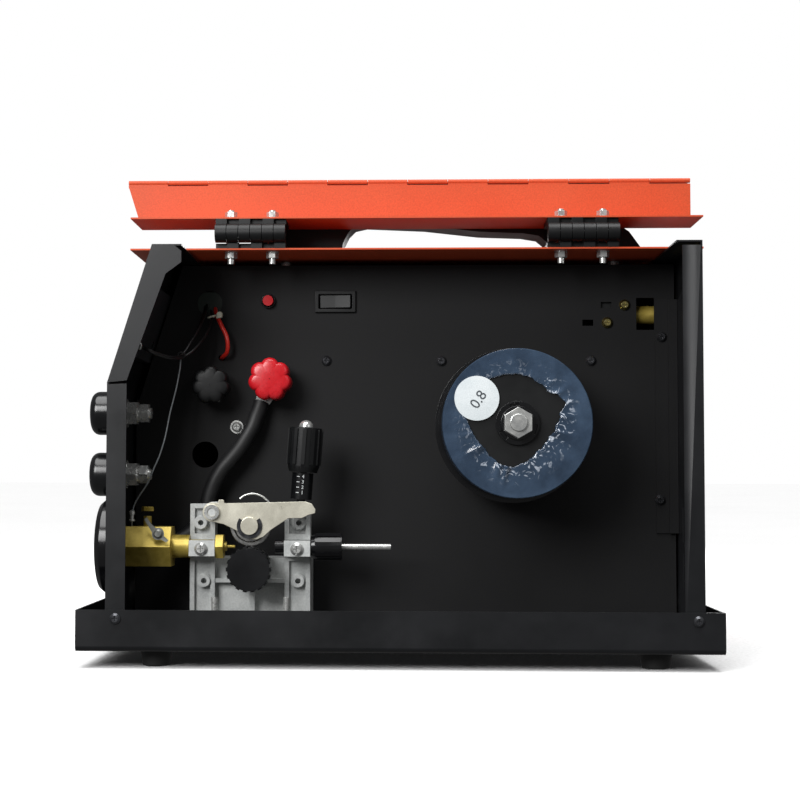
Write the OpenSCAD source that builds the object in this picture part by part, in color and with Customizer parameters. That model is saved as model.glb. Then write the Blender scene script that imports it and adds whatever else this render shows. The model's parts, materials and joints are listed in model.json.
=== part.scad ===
// Portable MIG welding machine with its side door open.
// Frame: x runs from the front (-) to the rear (+), y from the door side (-) to the far side (+),
// z is up. The origin is the centre of the base tray's underside.

/* [Case] */
// Length of the base tray, front to rear
tray_l = 450; // [440:1:460]
// Width of the base tray, door side to far side
tray_w = 210; // [206:1:214]
// Height of the base tray's walls
tray_h = 29; // [26:1:32]
// Thickness of the case sheets
sheet = 1.2; // [1:0.1:1.5]
// Height of the case above the tray's underside
case_h = 290; // [288:1:292]
// Height where the front panel starts to slope back
bend_z = 188; // [184:1:192]
// How far the front panel leans back over its slope
slope_run = 31; // [28:1:33]
// Front panel's outer face
front_x = -205; // [-207:1:-203]
// Rear panel's outer face
rear_x = 212; // [210:1:213]
// Width of the folded edges of the front and rear panels
return_w = 14; // [12:1:16]
// Number of louvres in each row of the far side
louvre_count = 9; // [6:1:10]

/* [Feet] */
// Height of a rubber foot
foot_h = 12; // [10:1:14]
// Radius of a foot where it meets the tray
foot_r = 11.5; // [10:0.5:13]

/* [Door] */
// Width of the door's top flange
flange_w = 53; // [50:1:54]
// Height of the door strip between its flange and the fold hinge
strip_h = 34; // [32:1:36]
// Height of the hinge axis above the cover
hinge_rise = 11; // [10:0.5:12]
// Length of one plastic hinge
hinge_l = 52; // [48:1:56]
// Middle of the front hinge
hinge_front_x = -109; // [-112:1:-106]
// Middle of the rear hinge
hinge_rear_x = 135; // [130:1:138]

/* [Wire bay] */
// Radius of the spool's flanges
spool_r = 51.5; // [50:0.5:52]
// Radius of the hub's back plate
back_plate_r = 57; // [54:0.5:57]
// Spool axis along the case
spool_x = 84; // [82:1:88]
// Spool axis above the tray
spool_z = 160; // [156:1:164]
// Height of the welding wire's line
wire_z = 71; // [70.5:0.5:71.5]
// Radius of the pressure roller
roller_r = 14.8; // [14.5:0.1:14.9]
// Radius of the drive roller
drive_r = 15.4; // [15:0.1:15.5]
// Radius of the welding cable
cable_r = 6; // [5:0.5:6.5]

/* [Hidden] */
$fn = 48;

half_l = tray_l / 2;
half_w = tray_w / 2;
gap = 0.5;
steel = "#1c1d1f";
orange = "#ef5a34";
plastic = "#18191b";
zinc = "#c9ccd0";
brass_c = "#b08d3c";

// Panels: the slope's angle from the vertical, and the ends of the folded edges
slope_rise = case_h - 4 - bend_z;
slope_a = atan(slope_run / slope_rise);
top_front_x = front_x + slope_run;
panel_y = half_w - 4.1;
floor_z = 1.5;
cap_x = 21;

// Cover and door outline: overhang in front of the panel, and where its slope ends
over_x = -198;
over_rear_x = 222;
over_run = 27;
over_bend_z = case_h - over_run * slope_rise / slope_run;
skirt_z = tray_h + 1.5;

// Door, open: it stands turned half way round its hinge axis
hinge_y = -52;
hinge_z = case_h + hinge_rise;
flange_z = case_h + 2 * hinge_rise;
strip_y = hinge_y + flange_w;
fold_z = flange_z + strip_h + 2.5;
fold_gap = 2.3;
fold_knuckle_r = 1.8;
fold_end = 0.16;
fold_n = 14;
leaf_top = 2 * hinge_z - fold_z;
leaf_h = leaf_top - skirt_z - fold_gap;
knuckle_r = 7;
pin_r = 2;
bolt_y = -41;
bolt_dx = 15.4;
hinge_xs = [hinge_front_x, hinge_rear_x];

// Wire feeder
wire_y = -48;
feed_x = -108;
arm_pivot = [-135.4, 96.2];
roller_z = wire_z + 0.4 + roller_r;
drive_z = wire_z - 0.6 - drive_r;
tension_x = -72;
tension_pivot_z = 97;
tension_y = -46.6;
tension_lean = 4;
upright_y = -38;
cast_y = -30;
left_up = [-154, -135.5];
right_up = [-84, -65];
clamp_z = [wire_z - 6.8, wire_z + 4.6];
roller_y = [-52.5, -43.5];
arm_y = [-58.2, -55.7];

// Reel: the planes along its axis
back_plate_y = [-36, -33];
spool_y = [-87, -37];
axle_r = 6;

// Electrical parts on the partition
red_x = -96.5;
red_z = 194.5;
black_x = -141.5;
black_z = 190.5;
selector_x = -48.6;
selector_z = 256;
button_x = -100;
button_z = 256.6;
lead_hole = [-145.2, 255];
socket_zs = [168.5, 123.5];
socket_y = -45;

// Screw places on the partition
wall_screws = [[-55.4, 210.8], [32.3, 210.5], [145.9, 210.7]];
bracket_screws = [[198.9, 228.6], [197.2, 105.1]];
valve_screws = [[171.4, 253.1], [158.2, 239.6]];
earth_screw = [-123.8, 160];
board_posts = [[-54, 236], [140, 262], [-54, 78], [140, 78]];

// Fan and power switch at the rear
fan_y = 54;
fan_z = 150;
fan_r = 40;
switch_y = 48;
switch_z = 250;

// Cable and wire routes, point by point
cable_route = [[-104.5, -7.4, 178.5], [-106, -8.8, 173], [-108.4, -10.5, 166.5], [-111, -12, 159],
    [-115.5, -13, 151], [-120.5, -13.8, 143], [-127, -14, 135], [-133, -14, 128],
    [-138.5, -13.6, 119], [-142.5, -13, 109], [-145, -12.5, 99], [-149, -12.4, 90],
    [-155, -13, 82], [-162, -15, 76], [-170, -19, 72], [-176, -25, 71], [-178, -33, 71]];
gland_y = 80;
gland_z = 44;
sense_route = [[-162, -38, 209], [-162.3, -40, 201], [-165, -42, 185], [-168.7, -44, 169],
    [-171.5, -47, 152], [-175, -50.5, 138], [-178.8, -53.5, 128], [-183.5, -53, 117],
    [-189.5, -50, 108.5], [-194, -48, 101], [-195.6, -48, 92], [-195.6, -48, 84.8]];
black_route = [[-150, 14, 255], [-149, 4, 254], [-149, -6, 247], [-152, -18, 234],
    [-157, -30, 221], [-161.5, -38, 212], [-168, -46, 210], [-177, -53, 212], [-184, -57, 215],
    [-190, -54, 218]];
red_route = [[-142, 14, 254], [-141.5, 4, 252], [-139.5, -5, 246], [-135, -10, 237],
    [-131, -12, 229], [-129.8, -12, 222], [-131, -9, 216], [-134.5, -4, 213.5], [-136, 2, 213]];

// Solids set out from corner to corner
module slab(x, y, z) {
    translate([x[0], y[0], z[0]])
        cube([x[1] - x[0], y[1] - y[0], z[1] - z[0]]);
}

module along_x(r, x, y, z) {
    translate([x[0], y, z])
        rotate([0, 90, 0])
            cylinder(r = r, h = x[1] - x[0]);
}

module along_y(r, x, y, z) {
    translate([x, y[1], z])
        rotate([90, 0, 0])
            cylinder(r = r, h = y[1] - y[0]);
}

// An outline in the x-z plane, given a depth along y
module plate_y(y, points) {
    translate([0, y[1], 0])
        rotate([90, 0, 0])
            linear_extrude(y[1] - y[0])
                polygon(points);
}

// Hexagon with its axis along y or along x; flats is its size across flats
module hex_y(flats, x, y, z) {
    translate([x, y[1], z])
        rotate([90, 0, 0])
            cylinder(r = flats / sqrt(3), h = y[1] - y[0], $fn = 6);
}

module hex_x(flats, x, y, z) {
    translate([x[0], y, z])
        rotate([0, 90, 0])
            rotate([0, 0, 30])
                cylinder(r = flats / sqrt(3), h = x[1] - x[0], $fn = 6);
}

// Pan screw whose head stands on the plane y, towards the door side
module screw_y(x, y, z, head_r, head_h, shank_r, shank_l) {
    translate([x, y, z])
        rotate([90, 0, 0])
            difference() {
                union() {
                    cylinder(r = head_r, h = head_h * 0.4);
                    translate([0, 0, head_h * 0.4])
                        cylinder(r1 = head_r, r2 = head_r * 0.62, h = head_h * 0.6);
                    translate([0, 0, -shank_l])
                        cylinder(r = shank_r, h = shank_l + 0.1);
                }
                for (a = [0, 90])
                    rotate([0, 0, a])
                        translate([-head_r * 0.5, -0.4, head_h * 0.5])
                            cube([head_r, 0.8, head_h]);
            }
}

// Things on the front slope: local z runs up the slope and local -x points outwards
module on_slope() {
    translate([front_x, 0, bend_z])
        rotate([0, slope_a, 0])
            children();
}

// Round tube swept along a route
function unit(v) = v / norm(v);
function heading(p, i) = unit(p[min(i + 1, len(p) - 1)] - p[max(i - 1, 0)]);
function side_of(t) = unit(cross(t, abs(t[0]) < 0.9 ? [1, 0, 0] : [0, 1, 0]));

module tube(route, r, sides) {
    n = len(route);
    rings = [for (i = [0:n - 1])
        let (t = heading(route, i), u = side_of(t), v = cross(t, u))
            for (k = [0:sides - 1])
                route[i] + r * (cos(360 * k / sides) * u + sin(360 * k / sides) * v)];
    walls = [for (i = [0:n - 2], k = [0:sides - 1])
        let (a = i * sides + k, b = i * sides + (k + 1) % sides)
            [a, b, b + sides, a + sides]];
    ends = [[for (k = [0:sides - 1]) sides - 1 - k],
        [for (k = [0:sides - 1]) (n - 1) * sides + k]];
    polyhedron(points = rings, faces = concat(walls, ends), convexity = 4);
}

// Base tray: a shallow pan with its long walls rounded into the floor
module base_tray() color(steel) {
    wall = 1.5;
    bend_r = 4;
    difference() {
        translate([-half_l, 0, 0])
            rotate([90, 0, 90])
                linear_extrude(tray_l)
                    difference() {
                        tray_section(half_w, tray_h, bend_r);
                        translate([0, wall])
                            tray_section(half_w - wall, tray_h, bend_r - wall);
                    }
        for (x = foot_xs, y = foot_ys)
            translate([x, y, -1])
                cylinder(r = 2.6, h = wall + 2);
        for (x = tray_screw_xs, y = [-half_w, half_w])
            along_y(2.1, x, [y - 3, y + 3], 23);
        for (row = [0:3], i = [0:9])
            slab([-60 + i * 14, -52 + i * 14], [34 + row * 14, 38 + row * 14], [-1, wall + 1]);
    }
    for (s = [-1, 1])
        translate([s * (half_l - wall / 2), 0, tray_h / 2 + wall / 2])
            cube([wall, tray_w - 2 * wall, tray_h - wall], center = true);
}

module tray_section(w, h, r) {
    polygon(concat([[w, h], [-w, h]],
        [for (a = [180:15:270]) [-w + r + r * cos(a), r + r * sin(a)]],
        [for (a = [270:15:360]) [w - r + r * cos(a), r + r * sin(a)]]));
}

tray_screw_xs = [-197, 206.4];
foot_xs = [-172, 181];
foot_ys = [-78, 78];

// Feet: tapered rubber, each with the head of its screw sunk in it
module rubber_feet() color("#141414")
    for (x = foot_xs, y = foot_ys)
        translate([x, y, -foot_h])
            difference() {
                cylinder(r1 = foot_r - 1.8, r2 = foot_r, h = foot_h);
                translate([0, 0, -1])
                    cylinder(r = 5.2, h = 6);
                translate([0, 0, -1])
                    cylinder(r = 2.65, h = foot_h + 2);
            }

// Outlines of the front panel, inset by d from its outer face
function front_line(d, z0) = [[front_x + d, z0], [front_x + d, bend_z],
    [top_front_x + d, case_h - 4]];

module front_panel() color(steel) {
    difference() {
        union() {
            plate_y([-panel_y, panel_y], concat(front_line(0, floor_z), [[top_front_x + cap_x,
                case_h - 4], [top_front_x + cap_x, case_h - 4 - sheet], [top_front_x + sheet,
                case_h - 4 - sheet], [front_x + sheet, bend_z], [front_x + sheet, floor_z]]));
            for (y = [-panel_y, panel_y - sheet])
                front_return([y, y + sheet]);
            slab([front_x + sheet, front_x + 24], [-panel_y + 4, panel_y - 4],
                [floor_z, floor_z + sheet]);
        }
        for (z = socket_zs)
            along_x(8.2, [front_x - 1, front_x + 3], socket_y, z);
        along_x(12.2, [front_x - 1, front_x + 3], wire_y, wire_z);
        on_slope()
            slab([-2, 4], [-60, 60], [22, 80]);
    }
}

// Folded edge of the front panel, slit where the panel bends
module front_return(y) {
    slit = 1.4;
    plate_y(y, [[front_x, floor_z], [front_x, bend_z - slit], [front_x + return_w, bend_z - slit
        / 2], [front_x + return_w, floor_z]]);
    plate_y(y, [[front_x, bend_z], [top_front_x, case_h - 4], [top_front_x + cap_x - 6,
        case_h - 4], [top_front_x + cap_x, case_h - 9], [top_front_x + cap_x, case_h - 17],
        [top_front_x + 10, case_h - 17 - 8], [front_x + return_w, bend_z + slit]]);
}

module rear_panel() color(steel) {
    difference() {
        union() {
            slab([rear_x - sheet, rear_x], [-panel_y, panel_y], [floor_z, case_h - 2.5]);
            for (y = [-panel_y, panel_y - sheet])
                slab([rear_x - return_w, rear_x - sheet / 2], [y, y + sheet],
                    [floor_z, case_h - 6]);
            slab([rear_x - 18, rear_x - sheet / 2], [-panel_y, panel_y],
                [case_h - 2.5 - sheet, case_h - 2.5]);
            slab([rear_x - 24, rear_x - sheet], [-panel_y + 4, panel_y - 4],
                [floor_z, floor_z + sheet]);
        }
        for (i = [-4:4])
            slab([rear_x - 3, rear_x + 1], [fan_y + i * 8.5 - 2, fan_y + i * 8.5 + 2],
                [fan_z - fan_slot(i), fan_z + fan_slot(i)]);
        for (y = [-70:8:-20], z = [40, 74])
            slab([rear_x - 3, rear_x + 1], [y, y + 3], [z, z + 26]);
        along_x(8.1, [rear_x - 3, rear_x + 1], gland_y, gland_z);
        along_x(5.1, [rear_x - 3, rear_x + 1], 12, 246.5);
        slab([rear_x - 3, rear_x + 1], [switch_y - 10.6, switch_y + 10.6], [switch_z - 13.6,
            switch_z + 13.6]);
    }
}

// Half height of the fan slot i steps from the fan's middle
function fan_slot(i) = sqrt(pow(fan_r, 2) - pow(i * 8.5, 2));

// Outline of the cover's far side, which the door repeats
function over_outline(z0) = [[over_x, case_h], [over_rear_x, case_h], [over_rear_x, z0],
    [over_x - over_run, z0], [over_x - over_run, over_bend_z]];

module top_cover() color(orange) {
    difference() {
        union() {
            slab([over_x, over_rear_x], [hinge_y + gap, half_w], [case_h - sheet, case_h]);
            plate_y([half_w - sheet, half_w], over_outline(skirt_z));
        }
        for (z = [70, 190], i = [0:louvre_count - 1])
            slab([-150 + i * 36, -126 + i * 36], [half_w - 3, half_w + 1], [z, z + 3]);
        for (x = hinge_xs, s = [-1, 1])
            translate([x + s * bolt_dx, bolt_y, case_h - 3])
                cylinder(r = 2.7, h = 5);
        for (x = handle_screw_xs)
            translate([x, handle_y, case_h - 3])
                cylinder(r = 2.6, h = 5);
    }
    for (z = [70, 190], i = [0:louvre_count - 1])
        louvre(-150 + i * 36, z + 3);
}

// One pressed louvre: a small hood over its slot
module louvre(x, z) {
    translate([x, half_w - sheet, z])
        rotate([90, 0, 90])
            linear_extrude(24)
                polygon([[0, 0], [3.6, -3.2], [4.4, -2.4], [0.4, 3], [0, 3]]);
}

// Partition: the wall that carries everything in the wire bay
module partition() color("#242527") {
    difference() {
        union() {
            slab([front_x + 4, rear_x - 3], [0, sheet], [floor_z + sheet + 0.1, case_h - 6]);
            slab([front_x + 26, rear_x - 26], [0, sheet], [floor_z, floor_z + 4]);
            slab([top_front_x + cap_x + 2, rear_x - 20], [0, 14], [case_h - 6 - sheet,
                case_h - 6]);
            slab([front_x + 26, rear_x - 26], [0, 14], [floor_z, floor_z + sheet]);
        }
        on_slope()
            slab([-40, 8], [-20, 20], [-5, 110]);
        along_y(9.7, lead_hole[0], [-1, 3], lead_hole[1]);
        along_y(10, -148, [-1, 3], 138.9);
        along_y(2.5, -135.7, [-1, 3], 213.2);
        slab([180.4, 193.8], [-1, 3], [234.1, 258.5]);
        slab([153.6, 161.6], [-1, 3], [250.9, 255.4]);
        slab([139.6, 147.8], [-1, 3], [237.3, 241.9]);
        slab([selector_x - 13.9, selector_x + 13.9], [-1, 3], [selector_z - 6.6, selector_z + 6.6]);
        for (p = concat(wall_screws, bracket_screws, valve_screws, [earth_screw]))
            along_y(2.1, p[0], [-1, 3], p[1]);
        along_y(3.6, button_x, [-1, 3], button_z);
        along_y(8, feed_x, [-1, 3], drive_z);
        along_y(4.1, red_x, [-1, 3], red_z);
        along_y(4.1, black_x, [-1, 3], black_z);
    }
}

// Upright strip that ties the partition to the rear panel
module rear_bracket() color("#212224")
    difference() {
        union() {
            slab([194.4, 205.1], [-sheet, -0.05], [80, 257]);
            slab([203.9, 205.1], [-3.4, -0.05], [80, 257]);
            slab([203.9, rear_x - sheet - 0.1], [-3.4, -2.2], [80, 257]);
        }
        for (p = bracket_screws)
            along_y(2.1, p[0], [-2, 1], p[1]);
    }

// Black pan screws: partition, bracket and tray
module black_screws() color("#26272a") {
    for (p = wall_screws)
        screw_y(p[0], 0, p[1], 3.8, 2.6, 1.9, 5);
    for (p = bracket_screws)
        screw_y(p[0], -sheet, p[1], 3.8, 2.6, 1.9, 5);
    for (x = tray_screw_xs, side = [0, 1])
        mirror([0, side, 0])
            screw_y(x, -half_w, 23, 3.8, 2.4, 1.9, 3.8);
    for (x = foot_xs, y = foot_ys)
        translate([x, y, 0])
            foot_screw();
}

// A foot's screw: head sunk in the rubber, nut on the tray floor
module foot_screw() {
    translate([0, 0, -10.5])
        cylinder(r = 4.8, h = 3.4);
    translate([0, 0, -7.2])
        cylinder(r = 2.5, h = 14);
    translate([0, 0, floor_z + 0.05])
        cylinder(r = 4.7, h = 4, $fn = 6);
}

// Bright screws: gas valve bracket, earth screw with washer, and the feeder's clamp screws
module zinc_screws() color("#d9c98a") {
    for (p = valve_screws)
        screw_y(p[0], 0, p[1], 4.1, 3, 2, 2.9);
    screw_y(earth_screw[0], -1, earth_screw[1], 3.8, 2.6, 2, 8);
    along_y(5, earth_screw[0], [-1, 0], earth_screw[1]);
    for (x = handle_screw_xs)
        translate([x, handle_y, 0]) {
            translate([0, 0, case_h - 4.2])
                cylinder(r = 4.2, h = 2.95);
            translate([0, 0, case_h - 1.3])
                cylinder(r = 2.05, h = 15);
        }
    for (x = [-143.5, -73.6])
        screw_y(x, -57, 69.5, 4.7, 2.8, 2.4, 3.6);
    for (x = [-133, -80.8])
        translate([x, -60, floor_z])
            cylinder(r = 2.2, h = 33.5);
}

handle_screw_xs = [-88, 166];
handle_y = 19;

// Carry handle: a moulded bow with a solid foot at each end
module carry_handle() color(plastic)
    translate([0, handle_y, 0])
        difference() {
            plate_y([-15, 15], [[-112, case_h], [-110, case_h + 8], [-100, case_h + 26],
                [-84, case_h + 38], [-60, case_h + 44], [-10, case_h + 46], [60, case_h + 46],
                [120, case_h + 43], [154, case_h + 35], [176, case_h + 20], [186, case_h + 6],
                [187, case_h], [119, case_h], [117, case_h + 5], [113, case_h + 12],
                [107, case_h + 17], [95, case_h + 19], [62, case_h + 20.2], [20, case_h + 25],
                [-25, case_h + 27], [-34, case_h + 25], [-39, case_h + 20], [-43, case_h + 12],
                [-45, case_h]]);
            for (x = handle_screw_xs)
                translate([x, 0, case_h - 1])
                    cylinder(r = 2.1, h = 16);
            for (side = [-1, 1])
                translate([0, side * 17, case_h + 56])
                    rotate([45, 0, 0])
                        cube([400, 20, 20], center = true);
        }

// Hinge knuckles take turns along the hinge: even ones on one leaf, odd ones on the other
module hinge_half(first) {
    step = hinge_l / 6;
    for (x = hinge_xs)
        difference() {
            union() {
                slab([x - hinge_l / 2, x + hinge_l / 2], [hinge_y + 4, hinge_y + 32], [case_h,
                    case_h + 4]);
                for (i = [first:2:5])
                    translate([x - hinge_l / 2 + i * step, 0, 0]) {
                        along_x(knuckle_r, [0.2, step - 0.2], hinge_y, hinge_z);
                        slab([0.2, step - 0.2], [hinge_y + 0.3, hinge_y + 6], [case_h, hinge_z]);
                    }
            }
            along_x(pin_r + 0.05, [x - hinge_l, x + hinge_l], hinge_y, hinge_z);
            for (s = [-1, 1])
                translate([x + s * bolt_dx, bolt_y, case_h - 1])
                    cylinder(r = 2.6, h = 6);
        }
}

module hinge_lower() color(plastic)
    hinge_half(1);

module hinge_upper() color(plastic)
    translate([0, 0, 2 * hinge_z])
        mirror([0, 0, 1])
            hinge_half(0);

// Steel pins of the two hinges and of the fold hinge
module hinge_pins() color(zinc) {
    for (x = hinge_xs)
        along_x(pin_r, [x - hinge_l / 2 + 1, x + hinge_l / 2 - 1], hinge_y, hinge_z);
    along_x(1, [fold_x0 + 0.5, over_rear_x - 0.5], strip_y, fold_z);
}

// One hinge bolt: head on the leaf, washer and nut beyond the sheet
module hinge_bolt(reach) {
    translate([0, 0, 4])
        cylinder(r1 = 4.2, r2 = 3.2, h = 2.6);
    translate([0, 0, -reach])
        cylinder(r = 2.4, h = reach + 4.1);
    translate([0, 0, -sheet - 1])
        cylinder(r = 5, h = 1);
    translate([0, 0, -sheet - 5])
        cylinder(r = 4.6, h = 4, $fn = 6);
}

// The four bolts of one pair of leaves; the upper leaves' are shorter and mirrored
module hinge_bolts(reach)
    for (x = hinge_xs, s = [-1, 1])
        translate([x + s * bolt_dx, bolt_y, case_h])
            hinge_bolt(reach);

module lower_hinge_bolts() color(zinc)
    hinge_bolts(10.5);

module upper_hinge_bolts() color(zinc)
    translate([0, 0, 2 * hinge_z])
        mirror([0, 0, 1])
            hinge_bolts(7.6);

// Front end of the door strip at its fold, and one knuckle of the fold hinge
fold_x0 = over_x - over_run * strip_h / (case_h - over_bend_z);
fold_step = (over_rear_x - fold_x0) / fold_n;

// Door strip: the flange on the hinges and the band that stands up from it
module door_upper() color(orange) {
    difference() {
        union() {
            slab([over_x, over_rear_x], [hinge_y + gap, strip_y], [flange_z, flange_z + sheet]);
            plate_y([strip_y - sheet, strip_y], [[over_x, flange_z], [over_rear_x, flange_z],
                [over_rear_x, flange_z + strip_h], [fold_x0, flange_z + strip_h]]);
            for (i = [0:2:fold_n - 1])
                translate([fold_x0 + i * fold_step, 0, 0]) {
                    slab([fold_end, fold_step - fold_end], [strip_y - sheet, strip_y], [fold_z - 4, fold_z]);
                    along_x(fold_knuckle_r, [fold_end, fold_step - fold_end], strip_y, fold_z);
                }
        }
        along_x(1.05, [fold_x0 - 1, over_rear_x + 1], strip_y, fold_z);
        for (x = hinge_xs, s = [-1, 1])
            translate([x + s * bolt_dx, bolt_y, flange_z - 1])
                cylinder(r = 2.7, h = 5);
    }
}

latch_x = -78;
latch_drop = leaf_h - 16;

// Door panel, folded back flat: y runs away from the fold hinge, which is down when it hangs
module door_panel() color(orange) {
    start = strip_y + fold_gap;
    far = start + leaf_h;
    // The front edge reaches the front panel's folded edge lower than the case's slope does
    bend = start + 150;
    difference() {
        union() {
            translate([0, 0, fold_z])
                linear_extrude(sheet)
                    polygon([[fold_x0, start], [over_rear_x, start], [over_rear_x, far],
                        [over_x - over_run, far], [over_x - over_run, bend]]);
            for (i = [1:2:fold_n - 1])
                translate([fold_x0 + i * fold_step, 0, 0]) {
                    slab([fold_end, fold_step - fold_end], [strip_y, start + 0.1], [fold_z,
                        fold_z + sheet]);
                    along_x(fold_knuckle_r, [fold_end, fold_step - fold_end], strip_y, fold_z);
                }
            for (x = [[front_x + return_w + 4, latch_x - 36], [latch_x + 36, rear_x - 18]])
                slab(x, [far - sheet, far], [fold_z, fold_z + 9]);
        }
        along_x(1.05, [fold_x0 - 1, over_rear_x + 1], strip_y, fold_z);
        translate([latch_x, start + latch_drop - 6, fold_z - 1])
            cylinder(r = 6.05, h = 4);
    }
}

// Quarter-turn latch: knob on the outer face, cam inside
module door_latch() color(plastic) {
    y = strip_y + fold_gap + latch_drop - 6;
    translate([latch_x, y, fold_z]) {
        translate([0, 0, -6.5])
            cylinder(r = 11, h = 6);
        translate([0, 0, -9])
            cube([16, 3.4, 5], center = true);
        translate([0, 0, -1])
            cylinder(r = 6, h = 8);
        translate([-6, -6, 3])
            cube([34, 12, 3]);
    }
}

// Control plate on the slope
module control_fascia() color("#202226")
    on_slope()
        difference() {
            union() {
                slab([-2.4, 0], [-78, 78], [12, 92]);
                slab([0, 6], [-58, 58], [24, 78]);
            }
            slab([-4, -1], [-34, 34], [60, 84]);
            for (y = knob_ys)
                translate([-5, y, knob_up])
                    rotate([0, 90, 0])
                        cylinder(r = 3.05, h = 12);
        }

knob_ys = [-8, 42];
knob_up = 38;

module panel_knob(y) {
    on_slope()
        translate([-2.9, y, knob_up])
            rotate([0, -90, 0]) {
                difference() {
                    cylinder(r1 = 12, r2 = 10.4, h = 10.5);
                    for (k = [0:11])
                        rotate([0, 0, k * 30])
                            translate([12.6, 0, -1])
                                cylinder(r = 1.5, h = 14);
                    translate([-0.7, 3, 9.8])
                        cube([1.4, 8, 2]);
                }
                translate([0, 0, -9])
                    cylinder(r = 3, h = 9.1);
            }
}

module current_knob() color("#17181a")
    panel_knob(knob_ys[0]);

module voltage_knob() color("#17181a")
    panel_knob(knob_ys[1]);

// Output sockets: round black shells on the front, each with a bayonet bore
module output_sockets() color(plastic)
    for (z = socket_zs)
        difference() {
            union() {
                translate([front_x, socket_y, z])
                    rotate([0, -90, 0])
                        socket_shell();
                along_x(8, [front_x - 0.1, front_x + 3], socket_y, z);
            }
            along_x(6.6, [front_x - 30, front_x - 8], socket_y, z);
            along_x(4.05, [front_x - 10, front_x + 5], socket_y, z);
            slab([front_x - 30, front_x - 8], [socket_y - 2, socket_y + 2], [z, z + 9]);
        }

module socket_shell() {
    length = 21;
    r = 16;
    rotate_extrude()
        polygon(concat([[0, 0], [r, 0], [r, length - 6]],
            [for (a = [0:15:90]) [r - 6 + 6 * cos(a), length - 6 + 6 * sin(a)]],
            [[0, length]]));
}

// Brass studs, washers and nuts behind the sockets
module socket_studs() color(zinc)
    for (z = socket_zs) {
        along_x(4, [front_x - 8, front_x + 23], socket_y, z);
        along_x(10.5, [front_x + 3.1, front_x + 5], socket_y, z);
        hex_x(16, [front_x + 5, front_x + 13], socket_y, z);
        along_x(6.5, [front_x + 13, front_x + 15], socket_y, z);
        hex_x(13, [front_x + 15, front_x + 21], socket_y, z);
    }

// Torch connector on the front: flange, collar and bore
module torch_flange() color(plastic)
    difference() {
        union() {
            translate([front_x, wire_y, wire_z])
                rotate([0, -90, 0])
                    rotate_extrude()
                        polygon([[0, 0], [34, 0], [34, 9], [31, 12.5], [24, 13.5], [0, 13.5]]);
            along_x(12, [front_x - 0.1, front_x + sheet + 0.5], wire_y, wire_z);
        }
        along_x(10, [front_x - 20, front_x + 5], wire_y, wire_z);
    }

// Fan: square frame with four arms, rotor with seven blades
module fan_frame() color("#131416") {
    difference() {
        slab([rear_x - 26, rear_x - sheet - 0.1], [fan_y - 43, fan_y + 43], [fan_z - 43,
            fan_z + 43]);
        along_x(fan_r + 0.8, [rear_x - 30, rear_x + 1], fan_y, fan_z);
        for (s = [-1, 1], t = [-1, 1])
            along_x(2.2, [rear_x - 30, rear_x + 1], fan_y + s * 37.5, fan_z + t * 37.5);
    }
    difference() {
        union() {
            along_x(16, [rear_x - 26, rear_x - 22], fan_y, fan_z);
            for (a = [45:90:315])
                translate([rear_x - 26, fan_y, fan_z])
                    rotate([a, 0, 0])
                        slab([0, 3], [14, fan_r + 2], [-1.5, 1.5]);
        }
        along_x(1.55, [rear_x - 27, rear_x - 20], fan_y, fan_z);
    }
}

module fan_rotor() color("#1b1c1f") {
    blades = 7;
    along_x(15, [rear_x - 21.5, rear_x - 4], fan_y, fan_z);
    along_x(1.5, [rear_x - 26, rear_x - 21], fan_y, fan_z);
    for (k = [0:blades - 1])
        translate([rear_x - 12.5, fan_y, fan_z])
            rotate([k * 360 / blades, 0, 0])
                translate([0, 0, 26])
                    rotate([0, 0, 35])
                        cube([1.6, 17, 24], center = true);
}

// Rocker switches: a housing with a window, and the rocker in it
module switch_housing(w, h, depth, rim) {
    difference() {
        union() {
            translate([-w / 2 - rim, -2.2, -h / 2 - rim])
                cube([w + 2 * rim, 2.2, h + 2 * rim]);
            translate([-w / 2 - 1, -0.1, -h / 2 - 1])
                cube([w + 2, depth, h + 2]);
        }
        translate([-w / 2, -3, -h / 2])
            cube([w, depth, h]);
    }
}

// A rocker with two faces that meet in a shallow valley; its pivot is 1 in front of the rim
module rocker(w, h) {
    half = w / 2;
    translate([0, 0, -h / 2])
        linear_extrude(h)
            polygon([[-half, -1.2], [0, -2.4], [half, -4.2], [half - 0.8, 3], [0, 5],
                [-half + 0.8, 4]]);
}

module selector_switch() color("#1d1e20")
    translate([selector_x, 0, selector_z])
        switch_housing(25.4, 10.8, 16, 2.9);

module selector_rocker() color("#1a1b1d")
    translate([selector_x, 0, selector_z])
        rocker(23.6, 10);

module power_switch() color("#1d1e20")
    translate([rear_x, switch_y, switch_z])
        rotate([0, 0, 90])
            rotate([0, 90, 0])
                switch_housing(25, 18.8, 16, 2.5);

module power_rocker() color("#b3261e")
    translate([rear_x, switch_y, switch_z])
        rotate([0, 0, 90])
            rotate([0, 90, 0])
                rocker(23, 17.6);

module mains_gland() color("#17181a")
    difference() {
        union() {
            along_x(8, [rear_x - 10, rear_x + 1], gland_y, gland_z);
            hex_x(22, [rear_x, rear_x + 6], gland_y, gland_z);
            along_x(10, [rear_x + 5.9, rear_x + 17], gland_y, gland_z);
            hex_x(20, [rear_x - 7, rear_x - 1.3], gland_y, gland_z);
        }
        along_x(4.5, [rear_x - 12, rear_x + 20], gland_y, gland_z);
    }

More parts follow.
